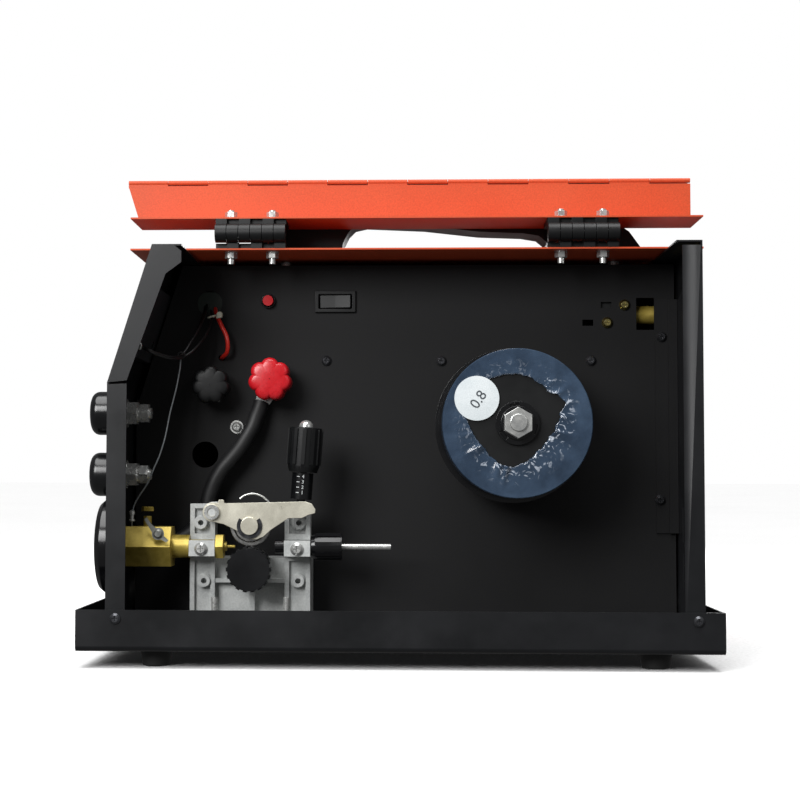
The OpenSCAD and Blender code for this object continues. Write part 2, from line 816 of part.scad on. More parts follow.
// Gas valve: brass body by the cut-out, black coil under it and a hose barb at the rear
module gas_valve() color(brass_c) {
    difference() {
        union() {
            along_x(7, [rear_x - 36.1, rear_x - 1.3], 12, 246.5);
            along_x(5, [rear_x - 1.4, rear_x + 4], 12, 246.5);
            hex_x(14, [rear_x, rear_x + 5], 12, 246.5);
            along_x(3.6, [rear_x + 4.9, rear_x + 20], 12, 246.5);
            for (k = [0:3])
                translate([rear_x + 8 + k * 3, 12, 246.5])
                    rotate([0, 90, 0])
                        cylinder(r1 = 4.6, r2 = 3.6, h = 2.6);
        }
        along_x(2, [rear_x - 40, rear_x + 22], 12, 246.5);
    }
    slab([rear_x - 58, rear_x - 36], [3, 21], [236, 257]);
}

// Reel axle: base flange, step and threaded stud
module reel_axle() color(zinc) {
    along_y(20, spool_x, [-3, -0.05], spool_z);
    along_y(11, spool_x, [-30, -3], spool_z);
    along_y(axle_r, spool_x, [-101, -29], spool_z);
}

// Reel hub: back plate, core that the spool slides on, and nose
module reel_hub() color("#151618")
    difference() {
        union() {
            along_y(back_plate_r, spool_x, back_plate_y, spool_z);
            along_y(12, spool_x, [-90, -31], spool_z);
            along_y(15.5, spool_x, [-90, -87.4], spool_z);
        }
        along_y(axle_r + 0.05, spool_x, [-95, -25], spool_z);
        for (k = [0:2])
            translate([spool_x, 0, spool_z])
                rotate([0, k * 120 + 20, 0])
                    slab([11.5, 14], [-91, -88.4], [-3.5, 3.5]);
    }

// Plastic spool: two flanges on a core
module wire_spool() color("#131416")
    difference() {
        union() {
            along_y(spool_r, spool_x, [spool_y[0], spool_y[0] + 2], spool_z);
            along_y(spool_r, spool_x, [spool_y[1] - 2, spool_y[1]], spool_z);
            along_y(21, spool_x, spool_y, spool_z);
        }
        along_y(12.2, spool_x, [-95, -30], spool_z);
    }

module wire_winding() color("#a8683f")
    difference() {
        along_y(44, spool_x, [spool_y[0] + 2.2, spool_y[1] - 2.2], spool_z);
        along_y(21.2, spool_x, [-95, -30], spool_z);
    }

// Clear film stretched over the spool's rim and near face
module film_wrap() color("#7f93ad", 0.6)
    difference() {
        along_y(spool_r + 1, spool_x, [spool_y[0] - 0.9, spool_y[1] - 6], spool_z);
        along_y(spool_r + 0.2, spool_x, [spool_y[0] - 0.1, -30], spool_z);
        along_y(26, spool_x, [-95, -80], spool_z);
    }

module hub_nut() color(zinc) {
    difference() {
        union() {
            along_y(12, spool_x, [-92, -90.4], spool_z);
            rotate_nut()
                hex_y(19, 0, [-99, -92], 0);
        }
        along_y(axle_r + 0.02, spool_x, [-105, -85], spool_z);
    }
}

module rotate_nut()
    translate([spool_x, 0, spool_z])
        rotate([0, 30, 0])
            children();

// Wire feeder casting: a shallow box below, with two uprights for the guides
module feeder_frame() color("#a5a8ab") {
    rim = 3.4;
    bottom = 1.6;
    shelf = 62;
    pocket_bosses = [[-143.5, 45.4], [-74, 45.4], [-146, 88], [-73.4, 88]];
    difference() {
        union() {
            slab([left_up[0], right_up[1]], [cast_y, -0.05], [bottom, shelf]);
            slab([left_up[0], left_up[1]], [upright_y, -24], [bottom, 102]);
            slab([right_up[0], right_up[1]], [upright_y, -24], [bottom, 102]);
            slab([left_up[0], right_up[1]], [upright_y, cast_y], [bottom, bottom + rim]);
            for (p = pocket_bosses)
                along_y(4.6, p[0], [upright_y - 2, cast_y], p[1]);
            slab([-139, -79], [upright_y + 1, cast_y], [44, 47]);
            slab([feed_x - 2, feed_x + 2], [upright_y + 1, cast_y], [bottom, 40]);
            along_y(7.4, arm_pivot[0], [-50, -26], arm_pivot[1]);
        }
        slab([left_up[0] + rim, right_up[1] - rim], [-24, -2], [bottom + rim, shelf - rim]);
        for (x = [left_up, right_up])
            difference() {
                slab([x[0] + rim, x[1] - rim], [upright_y - 2, upright_y + 3.5], [bottom + rim,
                    98.6]);
                slab([x[0], x[1]], [upright_y - 3, upright_y + 4], [60, 80]);
                for (p = pocket_bosses)
                    along_y(5.3, p[0], [upright_y - 3, upright_y + 4], p[1]);
            }
        for (p = pocket_bosses)
            along_y(2, p[0], [upright_y - 4, upright_y + 6], p[1]);
        along_y(5.05, feed_x, [-60, 0], drive_z);
    }
    along_y(2.95, arm_pivot[0], [-60, -48], arm_pivot[1]);
}

// Blocks that clamp the two wire guides to the uprights
module clamp_blocks() color("#9fa2a5")
    for (x = [[-152.4, -133.6], [-83, -64]])
        difference() {
            slab(x, [-57, upright_y - 0.05], clamp_z);
            along_x(5.05, [x[0] - 1, x[1] + 1], wire_y, wire_z);
            along_y(2.45, x[0] < -100 ? -143.5 : -73.6, [-60, -52.6], 69.5);
        }

// Torch block: hexagonal brass, reduced end, gland nut and wire tip
module torch_block() color(brass_c) {
    difference() {
        union() {
            hex_x(28.9, [front_x + 2, -165.2], wire_y, wire_z);
            along_x(8.4, [-165.3, -152.6], wire_y, wire_z);
            along_x(5, [-152.7, -130], wire_y, wire_z);
            along_x(9.9, [front_x - 12, front_x + 2.1], wire_y, wire_z);
        }
        along_x(1.2, [front_x - 20, -100], wire_y, wire_z);
        along_x(6, [front_x - 20, front_x - 4], wire_y, wire_z);
    }
    difference() {
        hex_x(17, [-133.4, -127.6], wire_y, wire_z);
        along_x(5.05, [-134, -120], wire_y, wire_z);
    }
    along_x(3.4, [-130.1, -125.5], wire_y, wire_z);
    along_x(1.1, [-125.6, -119.4], wire_y, wire_z);
    translate([-184, wire_y, wire_z + 12])
        cylinder(r = 3, h = 10);
}

// Inlet guide: black sleeve, cone and ribbed nut
module inlet_guide() color(plastic)
    difference() {
        union() {
            along_x(5, [-90, -64], wire_y, wire_z);
            translate([-64, wire_y, wire_z])
                rotate([0, 90, 0])
                    cylinder(r1 = 8, r2 = 9, h = 3.4);
            along_x(9.3, [-60.7, -41.2], wire_y, wire_z);
            for (k = [0:11])
                translate([0, wire_y, wire_z])
                    rotate([k * 30, 0, 0])
                        slab([-60, -42], [8.8, 10], [-1.4, 1.4]);
        }
        along_x(2.25, [-100, -40], wire_y, wire_z);
    }

module inlet_tube() color(zinc)
    difference() {
        along_x(2.2, [-88, -5.5], wire_y, wire_z);
        along_x(1.2, [-90, -4], wire_y, wire_z);
    }

// Pressure arm: stamped plate on its pivot, with the roller's axle and the clamp's pin
module pressure_arm() color("#d6d0bd") {
    p = arm_pivot;
    difference() {
        union() {
            plate_y(arm_y, concat(
                [for (a = [95:20:275]) [p[0] + 7 * cos(a), p[1] + 7 * sin(a)]],
                [[-127, 87.5], [-115.5, 82], [-108, 76.8], [-103, 76.4], [-98, 78.4],
                [-92.5, 83.4], [-80, 91.8], [-76, 92], [-70, 92], [-65.5, 94.2],
                [-60.4, 95.6], [-60.2, 98.4], [-62.8, 102.4], [-67.5, 104], [-126.5, 102.6],
                [-127, 105.2], [-130.6, 105.2], [-131, 102.9]]));
            along_y(5.6, p[0], [-60.2, -50.3], p[1]);
            along_y(4.2, feed_x, [-56.6, -42], roller_z);
            along_y(6.4, feed_x, [-61, -57], roller_z);
            along_y(4.4, tension_x, [-56, -50.4], tension_pivot_z);
            along_y(2.4, tension_x, [-56.5, -43], tension_pivot_z);
        }
        along_y(3, p[0], [-70, -40], p[1]);
    }
}

module pressure_roller() color("#cfcdc4")
    difference() {
        along_y(roller_r, feed_x, roller_y, roller_z);
        along_y(4.25, feed_x, [-60, -30], roller_z);
        difference() {
            along_y(roller_r - 3, feed_x, [-53, -51.5], roller_z);
            along_y(7.5, feed_x, [-54, -50], roller_z);
        }
    }

// Drive roller on the motor's shaft
module drive_roller() color("#b9bcc0") {
    difference() {
        along_y(drive_r, feed_x, [-53, -42.5], drive_z);
        translate([feed_x, wire_y, drive_z])
            rotate([90, 0, 0])
                rotate_extrude()
                    polygon([[drive_r - 0.6, 0], [drive_r + 1, 0.9], [drive_r + 1, -0.9]]);
    }
    along_y(5, feed_x, [-62, 6], drive_z);
}

// Ribbed knob that holds the drive roller on
module drive_knob() color("#1a1b1d")
    difference() {
        union() {
            along_y(15.4, feed_x, [-66, -53.3], drive_z);
            for (k = [0:17])
                translate([feed_x, 0, drive_z])
                    rotate([0, k * 20, 0])
                        slab([15, 16.4], [-64.5, -54], [-1.4, 1.4]);
        }
        along_y(5.02, feed_x, [-62.1, -50], drive_z);
    }

// Tension parts lean on their pivot; local z runs up the rod
module on_tension() {
    translate([tension_x, tension_y, tension_pivot_z])
        rotate([0, tension_lean, 0])
            children();
}

module tension_barrel() color("#1b1c1e")
    difference() {
        on_tension() {
            cylinder(r = 3, h = 62);
            translate([0, 0, 61.3])
                intersection() {
                    sphere(r = 5.3);
                    cylinder(r = 6, h = 6);
                }
            translate([0, 0, 8.6])
                cylinder(r = 7.8, h = 19.4);
            rotate([90, 0, 0])
                translate([0, 0, -3.4])
                    cylinder(r = 5, h = 6.8);
        }
        along_y(2.45, tension_x, [-70, -30], tension_pivot_z);
    }

module tension_knob() color("#1b1c1e")
    on_tension()
        difference() {
            union() {
                translate([0, 0, 28.4])
                    cylinder(r1 = 10.2, r2 = 11.7, h = 4.6);
                translate([0, 0, 33])
                    cylinder(r = 11.7, h = 28);
                for (k = [0:11])
                    rotate([0, 0, k * 30])
                        translate([10.9, -1.3, 34])
                            cube([1.9, 2.6, 26]);
            }
            translate([0, 0, 20])
                cylinder(r = 3.05, h = 42.5);
        }

// Gear motor behind the partition
module gear_motor() color("#8d9094")
    difference() {
        union() {
            slab([feed_x - 26, feed_x + 26], [sheet + 0.05, 22], [drive_z - 24, drive_z + 26]);
            along_y(19, feed_x, [21.9, 84], drive_z);
            along_y(6, feed_x, [83.9, 88], drive_z);
        }
        along_y(5.05, feed_x, [0, 12], drive_z);
    }

// Polarity terminals: insulators and threaded studs
module terminal_studs() color(brass_c)
    for (p = [[red_x, red_z], [black_x, black_z]]) {
        along_y(4, p[0], [-21, 12], p[1]);
        along_y(10, p[0], [-3.4, -0.05], p[1]);
        along_y(9, p[0], [1.25, 6], p[1]);
    }

// Star knob with seven lobes, bored for its stud
module star_knob(x, z, r, y0) {
    lobes = 7;
    lobe_r = r * 0.31;
    difference() {
        union() {
            along_y(r * 0.78, x, [y0, -8.5], z);
            for (k = [0:lobes - 1])
                translate([x, 0, z])
                    rotate([0, k * 360 / lobes + 13, 0])
                        along_y(lobe_r, r - lobe_r, [y0 + 1, -11], 0);
        }
        along_y(4.05, x, [y0 + 6, -5], z);
    }
}

module red_knob() color("#d8202a")
    star_knob(red_x, red_z, 15.6, -31);

module black_knob() color("#17181a")
    star_knob(black_x, black_z, 14, -28);

// Crimped cable lug under the red knob
module cable_lug() color(zinc)
    difference() {
        union() {
            along_y(8.4, red_x, [-6.6, -3.6], red_z);
            translate([red_x, 0, red_z])
                plate_y([-6.6, -3.6], [[-8, -2], [7, -4], [-2, -18], [-13, -15]]);
        }
        along_y(4.1, red_x, [-10, 0], red_z);
    }

module welding_cable() color("#101112")
    tube(cable_route, cable_r, 12);

// Thin leads: sense wire, black pair and red wire
module lead_wires() color("#2a2a2c") {
    tube(sense_route, 0.7, 8);
    tube(black_route, 1.2, 8);
    tube(red_route, 1.5, 8);
}

module button_bezel() color("#121315")
    difference() {
        union() {
            along_y(5.6, button_x, [-2.6, -0.05], button_z);
            along_y(3.5, button_x, [-0.1, 16], button_z);
        }
        along_y(4.4, button_x, [-3, -1.2], button_z);
        along_y(1.6, button_x, [-3, 12], button_z);
    }

module button_cap() color("#c8372f") {
    along_y(4, button_x, [-5.4, -3.5], button_z);
    along_y(3.9, button_x, [-3.6, -3.3], button_z);
    along_y(1.5, button_x, [-3.4, 6], button_z);
}

// Power board with heat sinks and capacitors on four posts, and the leads' connector block
module power_board() color("#27402f") {
    slab([-60, 150], [40, 41.8], [70, 270]);
    for (z = [90, 150, 210])
        slab([-50, 20], [41.85, 72], [z, z + 34]);
    for (x = [50, 86, 122], z = [110, 160])
        along_y(15, x, [41.85, 78], z);
    slab([-155, -134], [sheet + 0.05, 26], [244, 264]);
    for (p = board_posts)
        along_y(3, p[0], [sheet + 0.05, 39.95], p[1]);
}

// Transformer: laminated core and two windings on the tray floor
module transformer() color("#5a4a34") {
    slab([-40, 60], [22, 86], [floor_z, 12]);
    slab([-30, 50], [26, 82], [11.9, 56]);
}

base_tray();
rubber_feet();
front_panel();
rear_panel();
top_cover();
partition();
rear_bracket();
black_screws();
zinc_screws();
carry_handle();
door_upper();
door_panel();
hinge_lower();
hinge_upper();
hinge_pins();
lower_hinge_bolts();
upper_hinge_bolts();
door_latch();
control_fascia();
current_knob();
voltage_knob();
output_sockets();
socket_studs();
torch_flange();
fan_frame();
fan_rotor();
power_switch();
power_rocker();
mains_gland();
gas_valve();
reel_axle();
reel_hub();
wire_spool();
wire_winding();
film_wrap();
hub_nut();
feeder_frame();
clamp_blocks();
torch_block();
inlet_guide();
inlet_tube();
pressure_arm();
pressure_roller();
drive_roller();
drive_knob();
tension_barrel();
tension_knob();
gear_motor();
terminal_studs();
red_knob();
black_knob();
cable_lug();
welding_cable();
lead_wires();
selector_switch();
selector_rocker();
button_bezel();
button_cap();
power_board();
transformer();
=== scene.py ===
"""Portable MIG welding machine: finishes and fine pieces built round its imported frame."""
import json
import logging
import math
import random
from collections.abc import Callable
from dataclasses import dataclass
from enum import Enum

import bmesh
import bpy
from mathutils import Matrix, Vector

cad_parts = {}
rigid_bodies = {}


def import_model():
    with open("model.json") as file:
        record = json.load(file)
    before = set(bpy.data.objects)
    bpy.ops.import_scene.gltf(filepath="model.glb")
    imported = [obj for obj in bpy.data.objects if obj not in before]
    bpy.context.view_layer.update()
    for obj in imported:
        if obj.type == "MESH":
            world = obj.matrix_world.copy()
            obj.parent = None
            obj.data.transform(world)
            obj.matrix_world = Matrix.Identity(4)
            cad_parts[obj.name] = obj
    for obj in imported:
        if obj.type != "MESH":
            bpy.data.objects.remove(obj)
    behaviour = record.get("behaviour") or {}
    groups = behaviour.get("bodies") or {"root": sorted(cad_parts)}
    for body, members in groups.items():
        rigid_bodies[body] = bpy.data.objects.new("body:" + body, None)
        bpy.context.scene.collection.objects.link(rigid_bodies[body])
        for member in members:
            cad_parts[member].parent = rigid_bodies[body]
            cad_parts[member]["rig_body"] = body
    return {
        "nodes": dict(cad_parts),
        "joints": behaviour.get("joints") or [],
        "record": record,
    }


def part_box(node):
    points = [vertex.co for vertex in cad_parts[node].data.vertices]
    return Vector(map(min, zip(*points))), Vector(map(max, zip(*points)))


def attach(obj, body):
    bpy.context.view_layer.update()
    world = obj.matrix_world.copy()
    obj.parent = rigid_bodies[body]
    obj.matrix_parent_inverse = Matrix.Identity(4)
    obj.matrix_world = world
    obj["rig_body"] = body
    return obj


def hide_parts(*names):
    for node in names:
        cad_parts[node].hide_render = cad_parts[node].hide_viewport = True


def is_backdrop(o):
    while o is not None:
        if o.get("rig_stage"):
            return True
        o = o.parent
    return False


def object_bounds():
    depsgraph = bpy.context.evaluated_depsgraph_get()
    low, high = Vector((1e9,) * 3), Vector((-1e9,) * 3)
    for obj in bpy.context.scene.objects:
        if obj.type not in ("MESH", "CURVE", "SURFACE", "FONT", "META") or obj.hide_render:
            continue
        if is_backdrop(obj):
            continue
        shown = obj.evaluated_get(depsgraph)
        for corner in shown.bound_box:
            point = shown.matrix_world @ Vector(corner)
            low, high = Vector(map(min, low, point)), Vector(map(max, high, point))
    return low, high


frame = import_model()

LOG = logging.getLogger("mig_welder")
MM = 0.001
SEED = 11
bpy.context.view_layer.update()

Point = tuple[float, float, float]


class Aim(Enum):
    """Which way the axis of a turned piece runs."""

    INWARD = (0, 1, 0)
    UP = (0, 0, 1)


# ---------------------------------------------------------------- small tools

def linear(code: str) -> tuple[float, float, float, float]:
    """Turns an sRGB hex colour into Blender's linear colour.

    Args:
        code: six hex digits.

    Returns:
        Linear red, green, blue and an alpha of 1.
    """
    parts = [int(code[i:i + 2], 16) / 255 for i in (0, 2, 4)]
    return tuple(c / 12.92 if c <= 0.04045 else ((c + 0.055) / 1.055) ** 2.4
                 for c in parts) + (1.0,)


def add_node(tree: bpy.types.NodeTree, kind: str, settings: dict | None = None,
             inputs: dict | None = None) -> bpy.types.Node:
    """Adds one shader node with its settings, values and links.

    Args:
        tree: node tree that takes the node.
        kind: Blender's name of the node type.
        settings: the node's own properties.
        inputs: socket name or number, to a value or to the socket that feeds it.

    Returns:
        The new node.
    """
    node = tree.nodes.new(kind)
    for name, value in (settings or {}).items():
        setattr(node, name, value)
    for name, value in (inputs or {}).items():
        if isinstance(value, bpy.types.NodeSocket):
            tree.links.new(value, node.inputs[name])
        else:
            node.inputs[name].default_value = value
    return node


def set_ramp(node: bpy.types.Node, stops: list[tuple[float, tuple]]) -> None:
    """Gives a colour ramp its first and last stops.

    Args:
        node: the ramp node.
        stops: two pairs of position and linear colour.
    """
    for element, (place, colour) in zip(node.color_ramp.elements, stops):
        element.position = place
        element.color = colour


def smooth_route(points: list[Point], steps: int = 6) -> list[Vector]:
    """Rounds a route of given points into an even curve through all of them.

    Args:
        points: route in millimetres.
        steps: how many pieces each span is cut into.

    Returns:
        Points of the curve in metres.
    """
    knots = [Vector(p) * MM for p in points]
    ends = [knots[0] * 2 - knots[1], *knots, knots[-1] * 2 - knots[-2]]
    curve = []
    for a, b, c, d in zip(ends, ends[1:], ends[2:], ends[3:]):
        for i in range(steps):
            t = i / steps
            curve.append(0.5 * (2 * b + (c - a) * t + (2 * a - 5 * b + 4 * c - d) * t * t
                                + (3 * b - a - 3 * c + d) * t ** 3))
    return [*curve, knots[-1]]


# ------------------------------------------------------------------- finishes

@dataclass(frozen=True)
class Finish:
    """A surface: its colours, how it shines, and the grain that its making leaves.

    grain_mm is the size of the fine grain and depth_mm its height; mottle_mm is the size of the
    broad patches where the colour drifts from colour to second.
    """

    name: str
    colour: str
    second: str
    roughness: float
    metallic: float = 0.0
    grain_mm: float = 0.8
    depth_mm: float = 0.02
    mottle_mm: float = 60.0
    spread: float = 0.08
    coat: float = 0.0
    specular: float = 0.5
    alpha: float = 1.0
    stretch: Point = (1.0, 1.0, 1.0)

    def material(self) -> bpy.types.Material:
        """Returns the finish's material, built on first use."""
        return bpy.data.materials.get(self.name) or self._build()

    def _height(self, tree: bpy.types.NodeTree,
                place: bpy.types.NodeSocket) -> bpy.types.NodeSocket:
        """Makes the grain as a height from 0 to 1.

        Args:
            tree: the material's node tree.
            place: position on the piece, in metres.

        Returns:
            The height's socket.
        """
        noise = add_node(tree, "ShaderNodeTexNoise", inputs={
            "Vector": place, "Scale": 1 / (self.grain_mm * MM), "Detail": 3.0, "Roughness": 0.55})
        return noise.outputs[0]

    def _build(self) -> bpy.types.Material:
        """Builds the material's nodes.

        Returns:
            The material.
        """
        made = bpy.data.materials.new(self.name)
        made.use_nodes = True
        tree = made.node_tree
        tree.nodes.clear()
        where = add_node(tree, "ShaderNodeTexCoord")
        place = add_node(tree, "ShaderNodeMapping", inputs={
            "Vector": where.outputs["Object"], "Scale": self.stretch})
        patches = add_node(tree, "ShaderNodeTexNoise", inputs={
            "Vector": where.outputs["Object"], "Scale": 1 / (self.mottle_mm * MM),
            "Detail": 4.0, "Roughness": 0.6})
        patch = patches.outputs[0]
        tint = add_node(tree, "ShaderNodeValToRGB", inputs={"Fac": patch})
        set_ramp(tint, [(0.3, linear(self.colour)), (0.72, linear(self.second))])
        height = self._height(tree, place.outputs["Vector"])
        shine = add_node(tree, "ShaderNodeMapRange", inputs={
            "Value": patch, "From Min": 0.3, "From Max": 0.7,
            "To Min": max(self.roughness - self.spread, 0.03),
            "To Max": min(self.roughness + self.spread, 1.0)})
        bump = add_node(tree, "ShaderNodeBump", inputs={
            "Height": height, "Distance": self.depth_mm * MM, "Strength": 1.0})
        surface = add_node(tree, "ShaderNodeBsdfPrincipled", inputs={
            "Base Color": self._shade(tree, tint.outputs["Color"], height),
            "Roughness": shine.outputs["Result"], "Metallic": self.metallic,
            "Normal": bump.outputs["Normal"], "Coat Weight": self.coat,
            "Specular IOR Level": self.specular,
            "Coat Roughness": 0.12, "Alpha": self.alpha})
        add_node(tree, "ShaderNodeOutputMaterial", inputs={"Surface": surface.outputs["BSDF"]})
        made.diffuse_color = linear(self.colour)
        return made

    def _shade(self, tree: bpy.types.NodeTree, tint: bpy.types.NodeSocket,
               height: bpy.types.NodeSocket) -> bpy.types.NodeSocket:
        """Lets the grain's low spots darken the colour a little.

        Args:
            tree: the material's node tree.
            tint: the drifting colour.
            height: the grain's height.

        Returns:
            The colour's socket.
        """
        depth = add_node(tree, "ShaderNodeMapRange", inputs={
            "Value": height, "From Min": 0.25, "From Max": 0.75, "To Min": 0.82, "To Max": 1.08})
        return add_node(tree, "ShaderNodeVectorMath", {"operation": "SCALE"}, {
            0: tint, "Scale": depth.outputs["Result"]}).outputs["Vector"]


@dataclass(frozen=True)
class LayerWound(Finish):
    """Wire wound side by side: rings along the reel's axis, pitch_mm apart."""

    pitch_mm: float = 0.8

    def _height(self, tree: bpy.types.NodeTree,
                place: bpy.types.NodeSocket) -> bpy.types.NodeSocket:
        """Makes the round back of each turn of wire."""
        return add_node(tree, "ShaderNodeTexWave", {"bands_direction": "Y"}, {
            "Vector": place, "Scale": math.tau / 20 / (self.pitch_mm * MM),
            "Distortion": 0.6, "Detail": 1.0, "Detail Scale": 0.4}).outputs["Fac"]


@dataclass(frozen=True)
class StretchFilm(Finish):
    """Clear film pulled tight: see-through, with painted white highlights streaked along the
    creases where it gathers.
    """

    # Size of the noise streaks of painted highlight on the creases
    crease_mm: float = 7.5

    def _build(self) -> bpy.types.Material:
        """Adds painted highlights on the creases, whiter and less clear than the flat film, where
        the mesh marks them.
        """
        made = super()._build()
        tree = made.node_tree
        surface = next(n for n in tree.nodes if n.type == "BSDF_PRINCIPLED")
        where = add_node(tree, "ShaderNodeTexCoord")
        # Painted highlight: noise streaks, where the mesh's mark is set, whiten the film and make
        # it less clear.
        glint_pattern = add_node(tree, "ShaderNodeTexNoise", inputs={
            "Vector": where.outputs["Object"], "Scale": 1 / (self.crease_mm * MM),
            "Detail": 2.0, "Roughness": 0.55, "Distortion": 2.4})
        line = add_node(tree, "ShaderNodeValToRGB", inputs={"Fac": glint_pattern.outputs[0]})
        set_ramp(line, [(0.57, (0, 0, 0, 1)), (0.65, (1, 1, 1, 1))])
        glint_mask = add_node(tree, "ShaderNodeAttribute", {"attribute_name": "crease_glint"})
        glint_amount = add_node(tree, "ShaderNodeMath", {"operation": "MULTIPLY"}, {
            0: line.outputs["Color"], 1: glint_mask.outputs["Fac"]})
        base = surface.inputs["Base Color"].links[0].from_socket
        tint = add_node(tree, "ShaderNodeMix", {"data_type": "RGBA"}, {
            0: glint_amount.outputs[0], 6: base, 7: linear("D5DEEA")})
        tree.links.new(tint.outputs[2], surface.inputs["Base Color"])
        clear = add_node(tree, "ShaderNodeMapRange", inputs={
            "Value": glint_amount.outputs[0], "To Min": self.alpha, "To Max": 0.97})
        tree.links.new(clear.outputs["Result"], surface.inputs["Alpha"])
        return made


# Powder-coated steel: baked paint, satin, with a fine even orange-peel skin
BLACK_COAT = Finish("black_powder_coat", "101113", "17181B", 0.40, specular=0.4, grain_mm=0.9,
                    depth_mm=0.03)
# The partition's coat is flatter and greyer, so it shows soft light and not reflections
WALL_COAT = Finish("charcoal_powder_coat", "151516", "1B1B1C", 0.60, specular=0.22, grain_mm=1.1,
                   depth_mm=0.035, mottle_mm=150)
# Orange powder coat: a little glossier than the black, the same peel
ORANGE_COAT = Finish("orange_powder_coat", "D2502C", "DA5E38", 0.50, specular=0.28, grain_mm=1.2,
                     depth_mm=0.03, mottle_mm=180)
# Black nylon, moulded with a spark-eroded texture: soft grey highlights
NYLON = Finish("moulded_nylon", "0C0D0E", "131415", 0.42, specular=0.35, grain_mm=0.5,
               depth_mm=0.018)
# Black ABS, moulded in a polished tool: tight highlights
GLOSS_ABS = Finish("polished_abs", "0A0A0C", "111214", 0.22, grain_mm=1.8, depth_mm=0.006)
# Dark grey ABS for the control plate: finely grained
GREY_ABS = Finish("grained_abs", "26282B", "2E3033", 0.5, grain_mm=0.6, depth_mm=0.02)
# Red phenolic and nylon knobs: glossy where the mould was polished
RED_MOULDED = Finish("red_moulding", "C4121C", "D3222C", 0.26, grain_mm=1.4, depth_mm=0.01,
                     mottle_mm=14)
# Rubber feet: matt, slightly bloomed
RUBBER = Finish("moulded_rubber", "141414", "1E1E1D", 0.72, grain_mm=0.7, depth_mm=0.03)
# Black zinc screws: dark metal with a faint sheen
BLACK_ZINC = Finish("black_zinc", "3E3F42", "5A5B5F", 0.28, metallic=0.8, grain_mm=0.5,
                    depth_mm=0.006, mottle_mm=6)
# Bright zinc plate: bluish white metal with small dull patches
ZINC = Finish("bright_zinc", "CBCDCC", "E4E4E0", 0.27, metallic=0.72, grain_mm=0.6,
              depth_mm=0.006, mottle_mm=7, spread=0.12)
# Yellow-clear zinc plate on the pressed arm: creamy, with a drift of colour
YELLOW_ZINC = Finish("yellow_clear_zinc", "CDC9B8", "E0DCCC", 0.33, metallic=0.5, grain_mm=0.7,
                     depth_mm=0.008, mottle_mm=16, spread=0.1)
# Yellow zinc screws by the gas valve
YELLOW_SCREW = Finish("yellow_passivated_zinc", "A99B5C", "CFC38A", 0.28, metallic=1.0,
                      grain_mm=0.6, depth_mm=0.006, mottle_mm=5)
# Old dull zinc on the crimped terminals
DULL_ZINC = Finish("dull_zinc", "7D7F7B", "9A9B95", 0.42, metallic=0.85, grain_mm=0.8,
                   depth_mm=0.012, mottle_mm=5)
# Turned steel: fine tool lines, which here stand for lines too fine to see
TURNED_STEEL = Finish("turned_steel", "A9A9A8", "C4C3BF", 0.28, metallic=1.0, grain_mm=1.2,
                      depth_mm=0.008, mottle_mm=9, stretch=(1.0, 6.0, 1.0))
# Die-cast aluminium as it leaves the tool: matt, speckled, dull grey
DIE_CAST = Finish("die_cast_aluminium", "B2B5B4", "CCCECC", 0.48, metallic=0.2, grain_mm=1.5,
                  depth_mm=0.05, mottle_mm=11, spread=0.1)
# Turned and sawn brass, slightly tarnished: warm with darker patches
BRASS = Finish("turned_brass", "A08B38", "CDB65C", 0.36, metallic=0.5, grain_mm=1.0,
               depth_mm=0.012, mottle_mm=12, spread=0.1, stretch=(5.0, 1.0, 1.0))
# Copper-coated steel wire in closed turns
WOUND_WIRE = LayerWound("coppered_wire", "9C5A38", "C47C50", 0.30, metallic=0.9, depth_mm=0.25,
                        mottle_mm=20)
# Polyethylene film over black plastic: glossy; its bluish grey is painted reflection of the bright
# surroundings, and its gathered creases take painted highlights
FILM = StretchFilm("stretch_film", "2C3D52", "4A5F78", 0.17, grain_mm=11.0, depth_mm=0.5,
                   mottle_mm=26, coat=0.6, alpha=0.62)
# Rubber cable sheath: matt black, faintly ribbed by its lay
SHEATH = Finish("rubber_sheath", "101011", "1A1A1B", 0.5, grain_mm=1.6, depth_mm=0.04)
# PVC insulation, smooth
BLACK_PVC = Finish("black_pvc", "0C0C0D", "18181A", 0.33, grain_mm=1.5, depth_mm=0.01)
RED_PVC = Finish("red_pvc", "C7231B", "DA3527", 0.35, grain_mm=1.5, depth_mm=0.01)
GREY_PVC = Finish("grey_pvc", "6E7376", "85898C", 0.34, grain_mm=1.5, depth_mm=0.01)
# Nylon cable tie, natural: milky
NATURAL_NYLON = Finish("natural_nylon", "C9C9B4", "DCDCCB", 0.4, grain_mm=0.8, depth_mm=0.01)
# Coated paper label
PAPER = Finish("coated_paper", "D9E1E4", "E6ECEE", 0.55, grain_mm=0.6, depth_mm=0.008,
               mottle_mm=12)
# Pad-printed ink
INK = Finish("printed_ink", "3A4046", "4A5056", 0.6, grain_mm=0.5, depth_mm=0.004)
WHITE_INK = Finish("white_ink", "D4D8D8", "E2E5E5", 0.55, grain_mm=0.5, depth_mm=0.004)
# Display window: smoked acrylic, polished
SMOKED_ACRYLIC = Finish("smoked_acrylic", "060708", "0B0C0E", 0.06, grain_mm=8.0,
                        depth_mm=0.01, coat=0.5)
# Circuit board lacquer, heat-sink aluminium, capacitor sleeve, varnished core
BOARD = Finish("board_lacquer", "0C1A12", "122419", 0.4, grain_mm=1.2, depth_mm=0.03)
HEAT_SINK = Finish("extruded_aluminium", "9A9C9E", "B4B6B8", 0.38, metallic=0.9, grain_mm=1.0,
                   depth_mm=0.02, stretch=(1.0, 1.0, 8.0))
CORE = Finish("varnished_laminations", "1A1613", "2A231E", 0.5, metallic=0.4, grain_mm=0.5,
              depth_mm=0.05, stretch=(1.0, 4.0, 1.0))
# Studio floor: matt pale board
PALE_BOARD = Finish("pale_board", "FCFCFC", "FFFFFF", 0.8, grain_mm=3.0, depth_mm=0.005,
                    mottle_mm=900)


# ------------------------------------------------------------- making pieces

